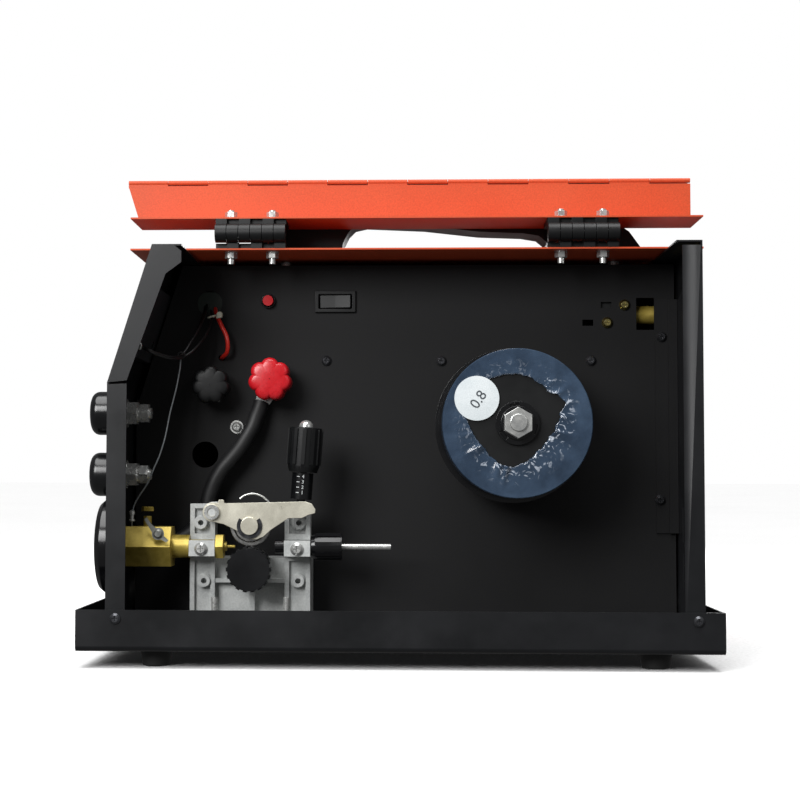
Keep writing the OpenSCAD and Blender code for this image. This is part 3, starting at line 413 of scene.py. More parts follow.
def place_piece(piece: bpy.types.Object, body: str, slot: str, *replaced: str) -> bpy.types.Object:
    """Hangs a piece on its body and hides what it stands for.

    Args:
        piece: the new piece.
        body: body that carries it.
        slot: not used.
        replaced: CAD nodes that it stands for.

    Returns:
        The piece.
    """
    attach(piece, body)
    if replaced:
        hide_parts(*replaced)
    LOG.info("%s rides on %s", piece.name, body)
    return piece


def link_mesh(name: str, mesh: bpy.types.Mesh, finish: Finish) -> bpy.types.Object:
    """Puts a mesh in the scene as a smooth-shaded piece.

    Args:
        name: the piece's name.
        mesh: its mesh.
        finish: its finish.

    Returns:
        The piece.
    """
    piece = bpy.data.objects.new(name, mesh)
    bpy.context.scene.collection.objects.link(piece)
    mesh.materials.append(finish.material())
    mesh.polygons.foreach_set("use_smooth", [True] * len(mesh.polygons))
    mesh.set_sharp_from_angle(angle=math.radians(35))
    return piece


def from_shape(name: str, shape: bmesh.types.BMesh, finish: Finish,
               turn: Matrix | None = None) -> bpy.types.Object:
    """Turns a finished shape into a piece with its faces looking outward.

    Args:
        name: the piece's name.
        shape: the shape, which is used up.
        finish: its finish.
        turn: placing of the shape, where it isn't drawn in place.

    Returns:
        The piece.
    """
    bmesh.ops.recalc_face_normals(shape, faces=shape.faces)
    if turn:
        shape.transform(turn)
    mesh = bpy.data.meshes.new(name)
    shape.to_mesh(mesh)
    shape.free()
    return link_mesh(name, mesh, finish)


def skin_rings(shape: bmesh.types.BMesh, rings: list[list[bmesh.types.BMVert]]) -> None:
    """Joins rings of equal count by quads, and the last ring to the first.

    Args:
        shape: the shape that holds them.
        rings: the rings, in order.
    """
    for low, high in zip(rings, rings[1:] + rings[:1]):
        for k in range(len(low)):
            j = (k + 1) % len(low)
            shape.faces.new((low[k], low[j], high[j], high[k]))


def arc(x: float, z: float, radius: float, degrees: range) -> list[tuple[float, float]]:
    """Returns the points of an arc about x, z at the given degrees, in millimetres."""
    return [(x + radius * math.cos(math.radians(a)), z + radius * math.sin(math.radians(a)))
            for a in degrees]


def round_edges(piece: bpy.types.Object, radius_mm: float, segments: int = 3) -> None:
    """Rounds a piece's edges, as a mould, a press or a deburring tool leaves them.

    Args:
        piece: the piece.
        radius_mm: width of the rounding.
        segments: facets across it.
    """
    bevel = piece.modifiers.new("rounded", "BEVEL")
    bevel.width = radius_mm * MM
    bevel.segments = segments
    bevel.limit_method = "ANGLE"
    bevel.angle_limit = math.radians(38)
    bevel.miter_outer = "MITER_ARC"
    even = piece.modifiers.new("flat_faces", "WEIGHTED_NORMAL")
    even.weight = 100
    even.keep_sharp = True


def tube(name: str, route: list[Vector], radius_mm: float, finish: Finish) -> bpy.types.Object:
    """Makes a round lead along a route.

    Args:
        name: the piece's name.
        route: its middle line, in metres.
        radius_mm: its radius.
        finish: its finish.

    Returns:
        The piece, as a curve of one open spline.
    """
    curve = bpy.data.curves.new(name, "CURVE")
    curve.dimensions = "3D"
    curve.bevel_depth = radius_mm * MM
    curve.bevel_resolution = 6
    curve.use_fill_caps = True
    spline = curve.splines.new("POLY")
    spline.points.add(len(route) - 1)
    for knot, place in zip(spline.points, route):
        knot.co = (*place, 1.0)
    spline.use_smooth = True
    curve.materials.append(finish.material())
    piece = bpy.data.objects.new(name, curve)
    bpy.context.scene.collection.objects.link(piece)
    return piece


def turned(name: str, profile: list[tuple[float, float]], place: Point, aim: Aim,
           finish: Finish, sides: int = 64) -> bpy.types.Object:
    """Turns a closed profile about an axis.

    Args:
        name: the piece's name.
        profile: pairs of radius and distance along the axis, in millimetres.
        place: where the axis starts, in millimetres.
        aim: direction of the axis.
        finish: its finish.
        sides: facets round the axis.

    Returns:
        The piece.
    """
    along_aim = Vector(aim.value).to_track_quat("Z", "Y").to_matrix().to_4x4()
    shape = bmesh.new()
    rings = []
    for radius, along in profile:
        rings.append([shape.verts.new(Vector((radius * math.cos(math.tau * k / sides),
                                              radius * math.sin(math.tau * k / sides),
                                              along)) * MM) for k in range(sides)])
    skin_rings(shape, rings)
    return from_shape(name, shape, finish,
                      Matrix.Translation(Vector(place) * MM) @ along_aim)


def pressed(name: str, outline: list[tuple[float, float]], depth: tuple[float, float],
            finish: Finish, turn: Matrix | None = None) -> bpy.types.Object:
    """Makes a flat pressed piece from an outline in the x-z plane.

    Args:
        name: the piece's name.
        outline: pairs of x and z, in millimetres.
        depth: first and last y, in millimetres.
        finish: its finish.
        turn: placing of the piece, where it isn't drawn in place.

    Returns:
        The piece.
    """
    shape = bmesh.new()
    near = [shape.verts.new(Vector((x, depth[0], z)) * MM) for x, z in outline]
    far = [shape.verts.new(Vector((x, depth[1], z)) * MM) for x, z in outline]
    shape.faces.new(near)
    shape.faces.new(far[::-1])
    for i, corner in enumerate(near):
        j = (i + 1) % len(near)
        shape.faces.new((corner, far[i], far[j], near[j]))
    return from_shape(name, shape, finish, turn)


def figures(name: str, words: str, height_mm: float, place: Matrix,
            finish: Finish) -> bpy.types.Object:
    """Prints figures as thin raised ink.

    Args:
        name: the piece's name.
        words: the figures.
        height_mm: height of the type.
        place: position and turn of the line's middle.
        finish: the ink.

    Returns:
        The piece, as a mesh.
    """
    text = bpy.data.curves.new(name, "FONT")
    text.body = words
    text.size = height_mm * MM
    text.align_x = "CENTER"
    text.align_y = "CENTER"
    text.extrude = 0.03 * MM
    holder = bpy.data.objects.new(name + "_type", text)
    bpy.context.scene.collection.objects.link(holder)
    bpy.context.view_layer.update()
    mesh = bpy.data.meshes.new_from_object(
        holder.evaluated_get(bpy.context.evaluated_depsgraph_get()))
    bpy.data.objects.remove(holder)
    mesh.materials.clear()
    mesh.transform(place)
    return link_mesh(name, mesh, finish)


def centre(node: str) -> Vector:
    """Returns the middle of a CAD node's box, in millimetres."""
    low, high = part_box(node)
    return (low + high) / 2 / MM


@dataclass(frozen=True)
class Coat:
    """How one CAD node is dressed: its finish, its edge rounding, and any second finish.

    edge_mm is 0 on a panel with many slots, which keeps its sheared edges.
    """

    finish: Finish
    edge_mm: float = 0.3
    other: Finish | None = None
    where: Callable[[Vector], bool] | None = None


class Assembly:
    """A group of CAD nodes dressed together, and the fine pieces added to them."""

    def dress(self, coats: dict[str, Coat]) -> None:
        """Gives each node a rounded twin with its finish, which stands for it.

        Args:
            coats: node name to its dressing.
        """
        slots = {part["node"]: part["material_slot"] for part in frame["record"]["subparts"]}
        for node, coat in coats.items():
            source = frame["nodes"][node]
            shape = bmesh.new()
            shape.from_mesh(source.data)
            bmesh.ops.remove_doubles(shape, verts=shape.verts, dist=2e-6)
            if coat.edge_mm:
                bmesh.ops.dissolve_limit(shape, angle_limit=math.radians(0.6),
                                         verts=shape.verts, edges=shape.edges,
                                         use_dissolve_boundaries=False)
            mesh = bpy.data.meshes.new(node + "_skin")
            shape.to_mesh(mesh)
            shape.free()
            mesh.materials.clear()
            piece = link_mesh(node + "_skin", mesh, coat.finish)
            if coat.other:
                mesh.materials.append(coat.other.material())
                for face in mesh.polygons:
                    face.material_index = int(coat.where(face.center / MM))
            if coat.edge_mm:
                round_edges(piece, coat.edge_mm)
            place_piece(piece, source["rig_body"], slots[node], node)


@dataclass
class CaseShell(Assembly):
    """Tray, panels, cover, partition, handle and their screws.

    lining_y_mm is the plane of the cover's far inner face, which takes the charcoal coat as
    painted shade.
    """

    edge_mm: float = 0.35
    lining_y_mm: float = 103.8

    def build(self) -> None:
        """Dresses the case."""
        self.dress({
            "base_tray": Coat(BLACK_COAT, 0.6), "front_panel": Coat(BLACK_COAT, self.edge_mm),
            "rear_panel": Coat(BLACK_COAT, 0.0), "partition": Coat(WALL_COAT, 0.2),
            "rear_bracket": Coat(WALL_COAT, self.edge_mm),
            # The cover's far inner face takes the charcoal coat as painted shade: it is orange
            # paint lying in shadow.
            "top_cover": Coat(ORANGE_COAT, 0.3, WALL_COAT,
                              lambda c: abs(c.y - self.lining_y_mm) < 0.06),
            "rubber_feet": Coat(RUBBER, 0.9), "black_screws": Coat(BLACK_ZINC, 0.3),
            "zinc_screws": Coat(ZINC, 0.3, YELLOW_SCREW, lambda c: c.x > 100 and c.z < 270),
            "carry_handle": Coat(NYLON, 2.4)})


@dataclass
class Door(Assembly):
    """The two-leaf side door on its plastic hinges."""

    def build(self) -> None:
        """Dresses the door."""
        self.dress({
            "door_upper": Coat(ORANGE_COAT, 0.35), "door_panel": Coat(ORANGE_COAT, 0.35),
            "hinge_lower": Coat(NYLON, 0.6), "hinge_upper": Coat(NYLON, 0.6),
            "hinge_pins": Coat(ZINC, 0.2), "lower_hinge_bolts": Coat(ZINC, 0.3),
            "upper_hinge_bolts": Coat(ZINC, 0.3), "door_latch": Coat(NYLON, 0.7)})


@dataclass
class ControlPlate(Assembly):
    """Sloping control plate with its window, its two knobs and their scales.

    knob_proud_mm is how far a knob's joint stands off the plate's face, and bend_mm is where the
    front panel starts to slope.
    """

    tick_count: int = 11
    sweep_deg: float = 270.0
    tick_in_mm: float = 14.2
    tick_out_mm: float = 16.6
    tick_half_mm: float = 0.35
    knob_proud_mm: float = 5.57
    bend_mm: Point = (-205, 0, 188)
    window_up_mm: float = 72
    window_half_mm: tuple[float, float] = (33.6, 11.6)
    window_corner_mm: float = 2.5

    def build(self) -> None:
        """Dresses the plate and adds the window and the scales."""
        self.dress({
            "control_fascia": Coat(GREY_ABS, 0.6), "current_knob": Coat(GLOSS_ABS, 0.5),
            "voltage_knob": Coat(GLOSS_ABS, 0.5)})
        joints = {joint["name"]: joint for joint in frame["joints"]}
        out = Vector(joints["current_knob_turn"]["axis"]).normalized()
        up = Vector((out.z, 0, -out.x))
        side = Vector((0, 1, 0))
        for label in ("current_knob", "voltage_knob"):
            hub = Vector(joints[label + "_turn"]["pos_m"])
            self._scale(label, hub - out * self.knob_proud_mm * MM, out, side, up)
        self._window(out, up)

    def _scale(self, label: str, middle: Vector, out: Vector, side: Vector, up: Vector) -> None:
        """Prints a ring of ticks round a knob.

        Args:
            label: the knob's name.
            middle: the ring's centre on the plate.
            out: the way that the plate faces.
            side: across the plate.
            up: up the plate.
        """
        shape = bmesh.new()
        for i in range(self.tick_count):
            angle = math.radians(90 + self.sweep_deg / 2 - self.sweep_deg * i
                                 / (self.tick_count - 1))
            ray = side * -math.cos(angle) + up * math.sin(angle)
            across = out.cross(ray) * self.tick_half_mm * MM
            ends = [middle + ray * r * MM for r in (self.tick_in_mm, self.tick_out_mm)]
            low = [ends[0] - across, ends[1] - across, ends[1] + across, ends[0] + across]
            corners = [shape.verts.new(p + out * lift * MM) for lift in (-0.1, 0.06) for p in low]
            for face in ((0, 1, 2, 3), (7, 6, 5, 4), (0, 4, 5, 1), (1, 5, 6, 2), (2, 6, 7, 3),
                         (3, 7, 4, 0)):
                shape.faces.new([corners[k] for k in face])
        place_piece(from_shape(label + "_scale", shape, WHITE_INK), "chassis", "grey_plastic")

    def _window(self, out: Vector, up: Vector) -> None:
        """Sets the smoked window in its recess.

        Args:
            out: the way that the plate faces.
            up: up the plate.
        """
        (half_w, half_h), corner = self.window_half_mm, self.window_corner_mm
        outline = []
        for cx, cz, start in ((1, 1, 0), (-1, 1, 90), (-1, -1, 180), (1, -1, 270)):
            outline += arc(cx * (half_w - corner), cz * (half_h - corner), corner,
                           range(start, start + 91, 15))
        spot = (Vector(self.bend_mm) + up * self.window_up_mm + out) * MM
        turn = Matrix.Translation(spot) @ Matrix((
            (0, -out.x, up.x, 0), (1, -out.y, up.y, 0), (0, -out.z, up.z, 0), (0, 0, 0, 1)))
        glass = pressed("display_window", outline, (-1.2, 0.0), SMOKED_ACRYLIC, turn)
        round_edges(glass, 0.4)
        place_piece(glass, "chassis", "grey_plastic")


@dataclass
class Connections(Assembly):
    """Front sockets and torch flange; rear fan, switch, gland and gas valve."""

    coil_end_mm: float = 176.2

    def build(self) -> None:
        """Dresses the fittings of both ends."""
        self.dress({
            "output_sockets": Coat(GLOSS_ABS, 0.5), "socket_studs": Coat(ZINC, 0.35),
            "torch_flange": Coat(GLOSS_ABS, 0.6), "fan_frame": Coat(NYLON, 0.4),
            "fan_rotor": Coat(NYLON, 0.3), "power_switch": Coat(GLOSS_ABS, 0.4),
            "power_rocker": Coat(RED_MOULDED, 0.6), "mains_gland": Coat(NYLON, 0.6),
            "gas_valve": Coat(BRASS, 0.3, NYLON, lambda c: c.x < self.coil_end_mm)})


@dataclass
class Reel(Assembly):
    """Wire spool on its hub, wrapped in film, with a paper label."""

    rim_mm: float = 52.4
    proud_mm: float = 0.45
    label_mm: float = 15.8
    label_at: tuple[float, float] = (-28.6, 17.5)
    label_turn_deg: float = 56
    rings: int = 15
    skirt_rings: int = 3
    sides: int = 200
    pleats: int = 54
    pleat_mm: float = 1.3
    # Radius of the film's torn opening, by angle from +X towards +Z
    opening: tuple[tuple[float, float], ...] = (
        (-180, 34.5), (-162, 31.4), (-144, 29.4), (-125, 30.4), (-109, 31.6), (-96, 31.0),
        (-81, 28.0), (-54, 24.2), (-28, 24.0), (-6, 26.8), (12, 30.5), (24, 36.5), (33, 35.0),
        (44, 31.2), (65, 32.2), (80, 34.0), (104, 35.2), (120, 36.4), (138, 37.0), (157, 36.0),
        (173, 36.6), (180, 34.5))

    def build(self) -> None:
        """Dresses the reel and adds film and label."""
        self.dress({
            "reel_axle": Coat(ZINC, 0.4), "reel_hub": Coat(GLOSS_ABS, 0.4),
            "wire_spool": Coat(NYLON, 0.5), "wire_winding": Coat(WOUND_WIRE, 0.3),
            "hub_nut": Coat(ZINC, 0.35, GLOSS_ABS, lambda c: c.y > -92.05)})
        low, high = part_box("film_wrap")
        self._film(centre("film_wrap"), low.y / MM, high.y / MM)
        self._label(centre("film_wrap"), low.y / MM)

    def _opening(self, degrees: float) -> float:
        """Returns the opening's radius at an angle, in millimetres."""
        for (a, first), (b, last) in zip(self.opening, self.opening[1:]):
            if a <= degrees <= b:
                share = (degrees - a) / (b - a)
                share = share * share * (3 - 2 * share)
                return first + (last - first) * share
        return self.opening[0][1]

    def _film(self, middle: Vector, near: float, far: float) -> None:
        """Stretches film over the rim, gathers it round the opening, and marks where its creases
        take a painted highlight.

        Args:
            middle: middle of the spool.
            near: the near face, along y.
            far: the far edge of the film's skirt, along y.
        """
        rng = random.Random(SEED)
        pleats = [(rng.uniform(-180, 180), rng.uniform(1.6, 4.0), rng.uniform(0.25, 1.0))
                  for _ in range(self.pleats)]
        shape = bmesh.new()
        crease_glint = shape.verts.layers.float.new("crease_glint")
        rings = []
        for level in range(self.rings + 1 + self.skirt_rings):
            ring = []
            for k in range(self.sides):
                degrees = -180 + 360 * k / self.sides
                angle = math.radians(degrees)
                hole = self._opening(degrees)
                if level <= self.rings:
                    share = level / self.rings
                    jag = 0.2 * math.sin(degrees * 0.9) + 0.3 * math.sin(degrees * 0.37)
                    radius = hole + jag * (1 - share) + (self.rim_mm - hole) * share
                    gather = (1 - share) ** 2 * (1.0 if -150 < degrees < 45 else 0.45)
                    ridge = sum(height * math.exp(-((degrees - at) / width) ** 2)
                                for at, width, height in pleats if abs(degrees - at) < 12)
                    away = math.hypot(radius * math.cos(angle) - self.label_at[0],
                                      radius * math.sin(angle) - self.label_at[1])
                    ridge *= min(max((away - self.label_mm) / 4, 0.0), 1.0)
                    depth = near - self.proud_mm * (1 - share) - self.pleat_mm * gather * ridge
                    # Weight of the painted highlight on the creases: full on the lower and right
                    # side, about a third elsewhere, fading out towards the rim.
                    side = 1.0 if -140 < degrees < 62 else 0.35
                    glint_mask = side * max(0.0, 1 - share / 0.62) ** 0.7
                else:
                    radius = self.rim_mm + 0.45
                    step = (level - self.rings - 1) / (self.skirt_rings - 1)
                    depth = near + 0.5 + (far - near - 0.5) * step
                    glint_mask = 0.0
                spot = shape.verts.new(Vector((middle.x + radius * math.cos(angle), depth,
                                               middle.z + radius * math.sin(angle))) * MM)
                spot[crease_glint] = glint_mask
                ring.append(spot)
            rings.append(ring)
        for low, high in zip(rings, rings[1:]):
            for k in range(self.sides):
                j = (k + 1) % self.sides
                shape.faces.new((low[k], high[k], high[j], low[j]))
        film = from_shape("spool_film", shape, FILM)
        sheet = film.modifiers.new("thickness", "SOLIDIFY")
        sheet.thickness = 0.12 * MM
        sheet.offset = 1.0
        place_piece(film, "reel", "clear_film", "film_wrap")

    def _label(self, middle: Vector, near: float) -> None:
        """Sticks the round paper label on the film.

        Args:
            middle: middle of the spool.
            near: the film's near face, along y.
        """
        spot = (middle.x + self.label_at[0], near - 1.05, middle.z + self.label_at[1])
        paper = turned("spool_label", [(0.01, 0.0), (self.label_mm * 0.7, 0.06),
                                       (self.label_mm, 0.3), (self.label_mm, 0.42),
                                       (self.label_mm * 0.7, 0.2), (0.01, 0.14)],
                       spot, Aim.INWARD, PAPER)
        place_piece(paper, "reel", "clear_film")
        turn = (Matrix.Translation((Vector(spot) + Vector((1.2, -0.08, -1.0))) * MM)
                @ Matrix.Rotation(math.radians(90), 4, "X")
                @ Matrix.Rotation(math.radians(self.label_turn_deg), 4, "Z"))
        place_piece(figures("label_figures", "0.8", 10.5, turn, INK), "reel", "clear_film")


@dataclass
class WireFeeder(Assembly):
    """Two-roller wire feeder with its pressure arm, clamp, guides and torch block."""

    spring_mm: float = 0.75
    spring_y_mm: float = -50.5
    clip_out_mm: float = 9.2
    clip_in_mm: float = 6.6
    scale_from_mm: float = 9.5
    scale_step_mm: float = 3.9
    barrel_mm: float = 7.92
    figure_mm: float = 3.6

    def build(self) -> None:
        """Dresses the feeder and adds the clip, the spring, the pivot ring and figures."""
        self.dress({
            "feeder_frame": Coat(DIE_CAST, 0.55), "clamp_blocks": Coat(DIE_CAST, 0.5),
            "torch_block": Coat(BRASS, 0.5), "inlet_guide": Coat(GLOSS_ABS, 0.5),
            "inlet_tube": Coat(ZINC, 0.2), "pressure_arm": Coat(YELLOW_ZINC, 0.3),
            "pressure_roller": Coat(TURNED_STEEL, 0.5),
            "drive_roller": Coat(TURNED_STEEL, 0.4), "drive_knob": Coat(GLOSS_ABS, 0.9),
            "tension_barrel": Coat(GLOSS_ABS, 0.4, ZINC,
                                   lambda c: c.z > centre("tension_knob").z + 14.5),
            "tension_knob": Coat(NYLON, 0.6), "gear_motor": Coat(TURNED_STEEL, 0.6)})
        self._arm_pieces()
        self._barrel_figures()

    def _arm_pieces(self) -> None:
        """Adds the circlip round the roller's axle and the wire spring over the arm."""
        roller = centre("pressure_roller")
        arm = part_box("pressure_arm")[0] / MM
        face = arm.y + 2.75
        outline = (arc(roller.x, roller.z, self.clip_out_mm, range(142, 399, 8))
                   + arc(roller.x, roller.z, self.clip_in_mm, range(398, 141, -8)))
        clip = pressed("axle_circlip", outline, (face - 0.95, face - 0.1), BLACK_ZINC)
        place_piece(clip, "arm", "black_screw")
        # The spring's bend over the arm: across and up from the roller's axis
        bend = ((-8, 19.6), (-4, 22.3), (2, 23.3), (8, 21.6), (12.6, 18))
        spring = [(roller.x + x, self.spring_y_mm, roller.z + z) for x, z in bend]
        spring.append((roller.x + 15, self.spring_y_mm - 0.5, roller.z + 14))
        place_piece(tube("arm_spring", smooth_route(spring), self.spring_mm, ZINC), "arm",
                    "yellow_zinc")
        ring = turned("pivot_ring", [(3.2, -0.5), (5.4, -0.5), (5.4, 0.0), (3.2, 0.0)],
                      (arm.x + 7, arm.y + 0.8, 96.2), Aim.INWARD, ZINC)
        place_piece(ring, "arm", "yellow_zinc")

    def _barrel_figures(self) -> None:
        """Prints the clamp's pressure scale, figures 1 to 4, on the barrel."""
        joint = next(j for j in frame["joints"] if j["name"] == "tension_turn")
        along = Vector(joint["axis"]).normalized()
        base = Vector(joint["pos_m"])
        side = Vector((along.z, 0, -along.x))
        for number in range(1, 5):
            up = self.scale_from_mm + number * self.scale_step_mm
            spot = base + along * up * MM + Vector((0, -self.barrel_mm * MM, 0))
            turn = Matrix((
                (side.x, along.x, 0, spot.x + side.x * 0.9 * MM), (0, 0, -1, spot.y),
                (side.z, along.z, 0, spot.z), (0, 0, 0, 1)))
            place_piece(figures(f"scale_figure_{number}", str(number), self.figure_mm, turn,
                                WHITE_INK), "tension_rod", "black_plastic")
            dash = pressed(f"scale_dash_{number}", [(-3.6, -0.25), (-1.6, -0.25), (-1.6, 0.25),
                                                   (-3.6, 0.25)], (-0.12, 0.35), WHITE_INK,
                           Matrix((
                               (side.x, 0, along.x, spot.x), (0, 1, 0, spot.y + 0.25 * MM),
                               (side.z, 0, along.z, spot.z), (0, 0, 0, 1))))
            place_piece(dash, "tension_rod", "black_plastic")


@dataclass
class Wiring(Assembly):
    """Polarity terminals, welding cable, thin leads, switch and button of the wire bay."""

    cable_mm: float = 6.0
    cable_route: tuple[Point, ...] = (
        (-104.5, -7.4, 178.5), (-106, -8.8, 173), (-108.4, -10.5, 166.5), (-111, -12, 159),
        (-115.5, -13, 151), (-120.5, -13.8, 143), (-127, -14, 135), (-133, -14, 128),
        (-138.5, -13.6, 119), (-142.5, -13, 109), (-145, -12.5, 99), (-149, -12.4, 90),
        (-155, -13, 82), (-162, -15, 76), (-170, -19, 72), (-176, -25, 71), (-178, -33, 71))
    sense_route: tuple[Point, ...] = (
        (-162, -38, 209), (-162.3, -40, 201), (-165, -42, 185), (-168.7, -44, 169),
        (-171.5, -47, 152), (-175, -50.5, 138), (-178.8, -53.5, 128), (-183.5, -53, 117),
        (-189.5, -50, 108.5), (-194, -48, 101), (-195.6, -48, 92), (-195.6, -48, 84.8))
    black_route: tuple[Point, ...] = (
        (-150, 14, 255), (-149, 4, 254), (-149, -6, 247), (-152, -18, 234), (-157, -30, 221),
        (-161.5, -38, 212), (-168, -46, 210), (-177, -53, 212), (-184, -57, 215),
        (-190, -54, 218))
    red_route: tuple[Point, ...] = (
        (-142, 14, 254), (-141.5, 4, 252), (-139.5, -5, 246), (-135, -10, 237),
        (-131, -12, 229), (-129.8, -12, 222), (-131, -9, 216), (-134.5, -4, 213.5),
        (-136, 2, 213))
    # How far each black lead strays from the route before the knot at point knot_at
    spreads: tuple[Point, ...] = ((0, 0, 0), (1.4, -0.6, 0.9), (5, -2, -5))
    knot_at: int = 5
    knob_sides: int = 210
    knob_lobes: int = 7
    knob_depth_mm: float = 18.6
    terminal_at: tuple[float, float] = (-173.4, 80.6)

    def build(self) -> None:
        """Dresses the terminals and lays the leads."""
        self.dress({
            "terminal_studs": Coat(BRASS, 0.3, NYLON, lambda c: -3.6 < c.y < 6.2),
            "cable_lug": Coat(ZINC, 0.4), "selector_switch": Coat(NYLON, 0.5),
            "selector_rocker": Coat(NYLON, 0.5), "button_bezel": Coat(GLOSS_ABS, 0.5),
            "button_cap": Coat(RED_MOULDED, 0.5)})
        cable = tube("welding_cable_sheath", smooth_route(list(self.cable_route)),
                     self.cable_mm, SHEATH)
        place_piece(cable, "chassis", "cable_rubber", "welding_cable")
        self._star_knob("red_knob", RED_MOULDED, 16.3)
        self._star_knob("black_knob", NYLON, 14.4)
        self._leads()
        self._terminals()

    def _star_knob(self, node: str, finish: Finish, radius: float) -> None:
        """Moulds a star knob: seven round lobes and a slightly domed face.

        Args:
            node: the CAD knob that it stands for.
            finish: its finish.
            radius: reach of its lobes, in millimetres.
        """
        low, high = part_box(node)
        middle = centre(node)
        front, back = low.y / MM, high.y / MM
        sides = self.knob_sides
        # Share of the radius, and depth from the front, from the domed face to the bored back
        profile = ((0.02, 0.0), (0.30, 0.05), (0.60, 0.2), (0.78, 0.55),
                   (0.88, 1.0), (0.95, 1.8), (0.99, 3.0), (1.0, 5.0), (1.0, 15.5), (0.97, 17.5),
                   (0.90, 18.4), (0.5, 18.6), (0.27, 18.6), (0.27, 9.0), (0.02, 9.0))
        shape = bmesh.new()
        rings = []
        for share, depth in profile:
            ring = []
            for k in range(sides):
                angle = math.tau * k / sides + math.radians(13)
                lobe = abs(math.cos(self.knob_lobes / 2 * math.tau * k / sides)) ** 0.75
                notch = 1 - 0.15 * (1 - lobe) * min(max((share - 0.5) / 0.35, 0.0), 1.0)
                reach = radius * share * notch
                ring.append(shape.verts.new(Vector((
                    middle.x + reach * math.cos(angle),
                    front + depth * (back - front) / self.knob_depth_mm,
                    middle.z - reach * math.sin(angle))) * MM))
            rings.append(ring)
        skin_rings(shape, rings)
        slot = "red_plastic" if node == "red_knob" else "black_plastic"
        place_piece(from_shape(node + "_moulding", shape, finish), node + "_body", slot, node)

    def _leads(self) -> None:
        """Lays the sense wire, the black pair and the red wire, and ties them."""
        sense = tube("sense_wire", smooth_route(list(self.sense_route)), 0.55, GREY_PVC)
        place_piece(sense, "chassis", "wire_insulation", "lead_wires")
        red = tube("red_lead", smooth_route(list(self.red_route)), 1.6, RED_PVC)
        place_piece(red, "chassis", "wire_insulation")
        last = len(self.black_route) - 1
        for i, (dx, dy, dz) in enumerate(self.spreads):
            route = []
            for k, (x, y, z) in enumerate(self.black_route):
                bow = math.sin(math.pi * (k / self.knot_at)) if k <= self.knot_at else 0.0
                shift = bow + (0.25 if 0 < k < last else 0.0)
                route.append((x + dx * shift, y + dy * shift, z + dz * shift))
            place_piece(tube(f"black_lead_{i + 1}", smooth_route(route), 0.95, BLACK_PVC),
                        "chassis", "wire_insulation")
        knot = Vector(self.black_route[self.knot_at])
        wrap = [(knot.x + 2.6 * math.cos(t * 0.7), knot.y - 0.4 * t + 1.5,
                 knot.z + 2.3 * math.sin(t * 0.7)) for t in range(0, 12)]
        place_piece(tube("lead_knot", smooth_route(wrap), 0.6, BLACK_PVC), "chassis",
                    "wire_insulation")
        self._tie()

    def _tie(self) -> None:
        """Draws the cable tie round the leads, with its square head."""
        x, y, z = -141.0, -7.0, 244.4
        band = [(x + 4.6 * math.cos(math.radians(a)), y - 2.4 * math.sin(math.radians(a)),
                 z + 1.2 * math.cos(math.radians(a))) for a in range(0, 361, 30)]
        place_piece(tube("cable_tie_band", smooth_route(band), 0.75, NATURAL_NYLON), "chassis",
                    "wire_insulation")
        head = pressed("cable_tie_head", [(2.0, -2.2), (6.4, -1.4), (6.8, 1.8), (5.4, 3.4),
                                          (2.4, 2.6)], (-4.0, 0.4), NATURAL_NYLON,
                       Matrix.Translation(Vector((x, y, z)) * MM))
        round_edges(head, 0.6)
        place_piece(head, "chassis", "wire_insulation")

    def _terminals(self) -> None:
        """Adds the crimped terminals on the torch block and the clip on the front panel."""
        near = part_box("torch_block")[0].y / MM
        block = centre("torch_block")
        top = block.z + 14.5
        post = (-195.6, block.y, top)
        place_piece(turned("sense_post", [(0.01, 0.0), (2.4, 0.0), (2.4, 1.2), (1.5, 1.4),
                                          (1.5, 4.6), (2.2, 4.8), (2.2, 7.4), (0.01, 8.0)],
                           post, Aim.UP, ZINC), "chassis", "zinc_plate")
        place_piece(turned("block_screw_head", [(0.01, 0.0), (4.4, 0.0), (4.4, 2.6), (3.8, 3.2),
                                                (0.01, 3.2)], (-184, block.y, top + 7.4),
                           Aim.UP, BRASS, 6), "chassis", "brass")
        x, z = self.terminal_at
        ring = [*arc(x, z, 4.4, range(-20, 118, 12)),
                (-178.2, 87.6), (-181.6, 92.4), (-183.6, 91.2), (-180.4, 86.0),
                *arc(x, z, 4.4, range(166, 301, 12)), (-167.4, 74.4), (-165.8, 76.0)]
        depth = (near - 2.3, near - 1.1)
        place_piece(pressed("ring_terminal", ring, depth, DULL_ZINC), "chassis", "zinc_plate")
        place_piece(turned("ring_terminal_screw", [(0.01, 0.0), (2.2, 0.0), (3.2, 0.7),
                                                   (3.2, 1.8), (0.01, 1.8)],
                           (x, depth[0] - 1.7, z), Aim.INWARD, DULL_ZINC), "chassis",
                    "zinc_plate")
        clip = pressed("panel_clip", [(-3.2, -3.4), (1.6, -3.4), (2.6, 0.0), (1.2, 3.6),
                                      (-3.2, 3.0)], (-1.6, 1.6), ZINC,
                       Matrix.Translation(Vector((-190.2, -56.5, 218)) * MM))
        round_edges(clip, 0.5)
        place_piece(clip, "chassis", "zinc_plate")


@dataclass
class Innards(Assembly):
    """Power board and transformer, seen only through the louvres."""

    def build(self) -> None:
        """Dresses the parts behind the partition."""
        self.dress({
            "power_board": Coat(BOARD, 0.3, HEAT_SINK, lambda c: c.y > 42.0),
            "transformer": Coat(CORE, 0.8)})


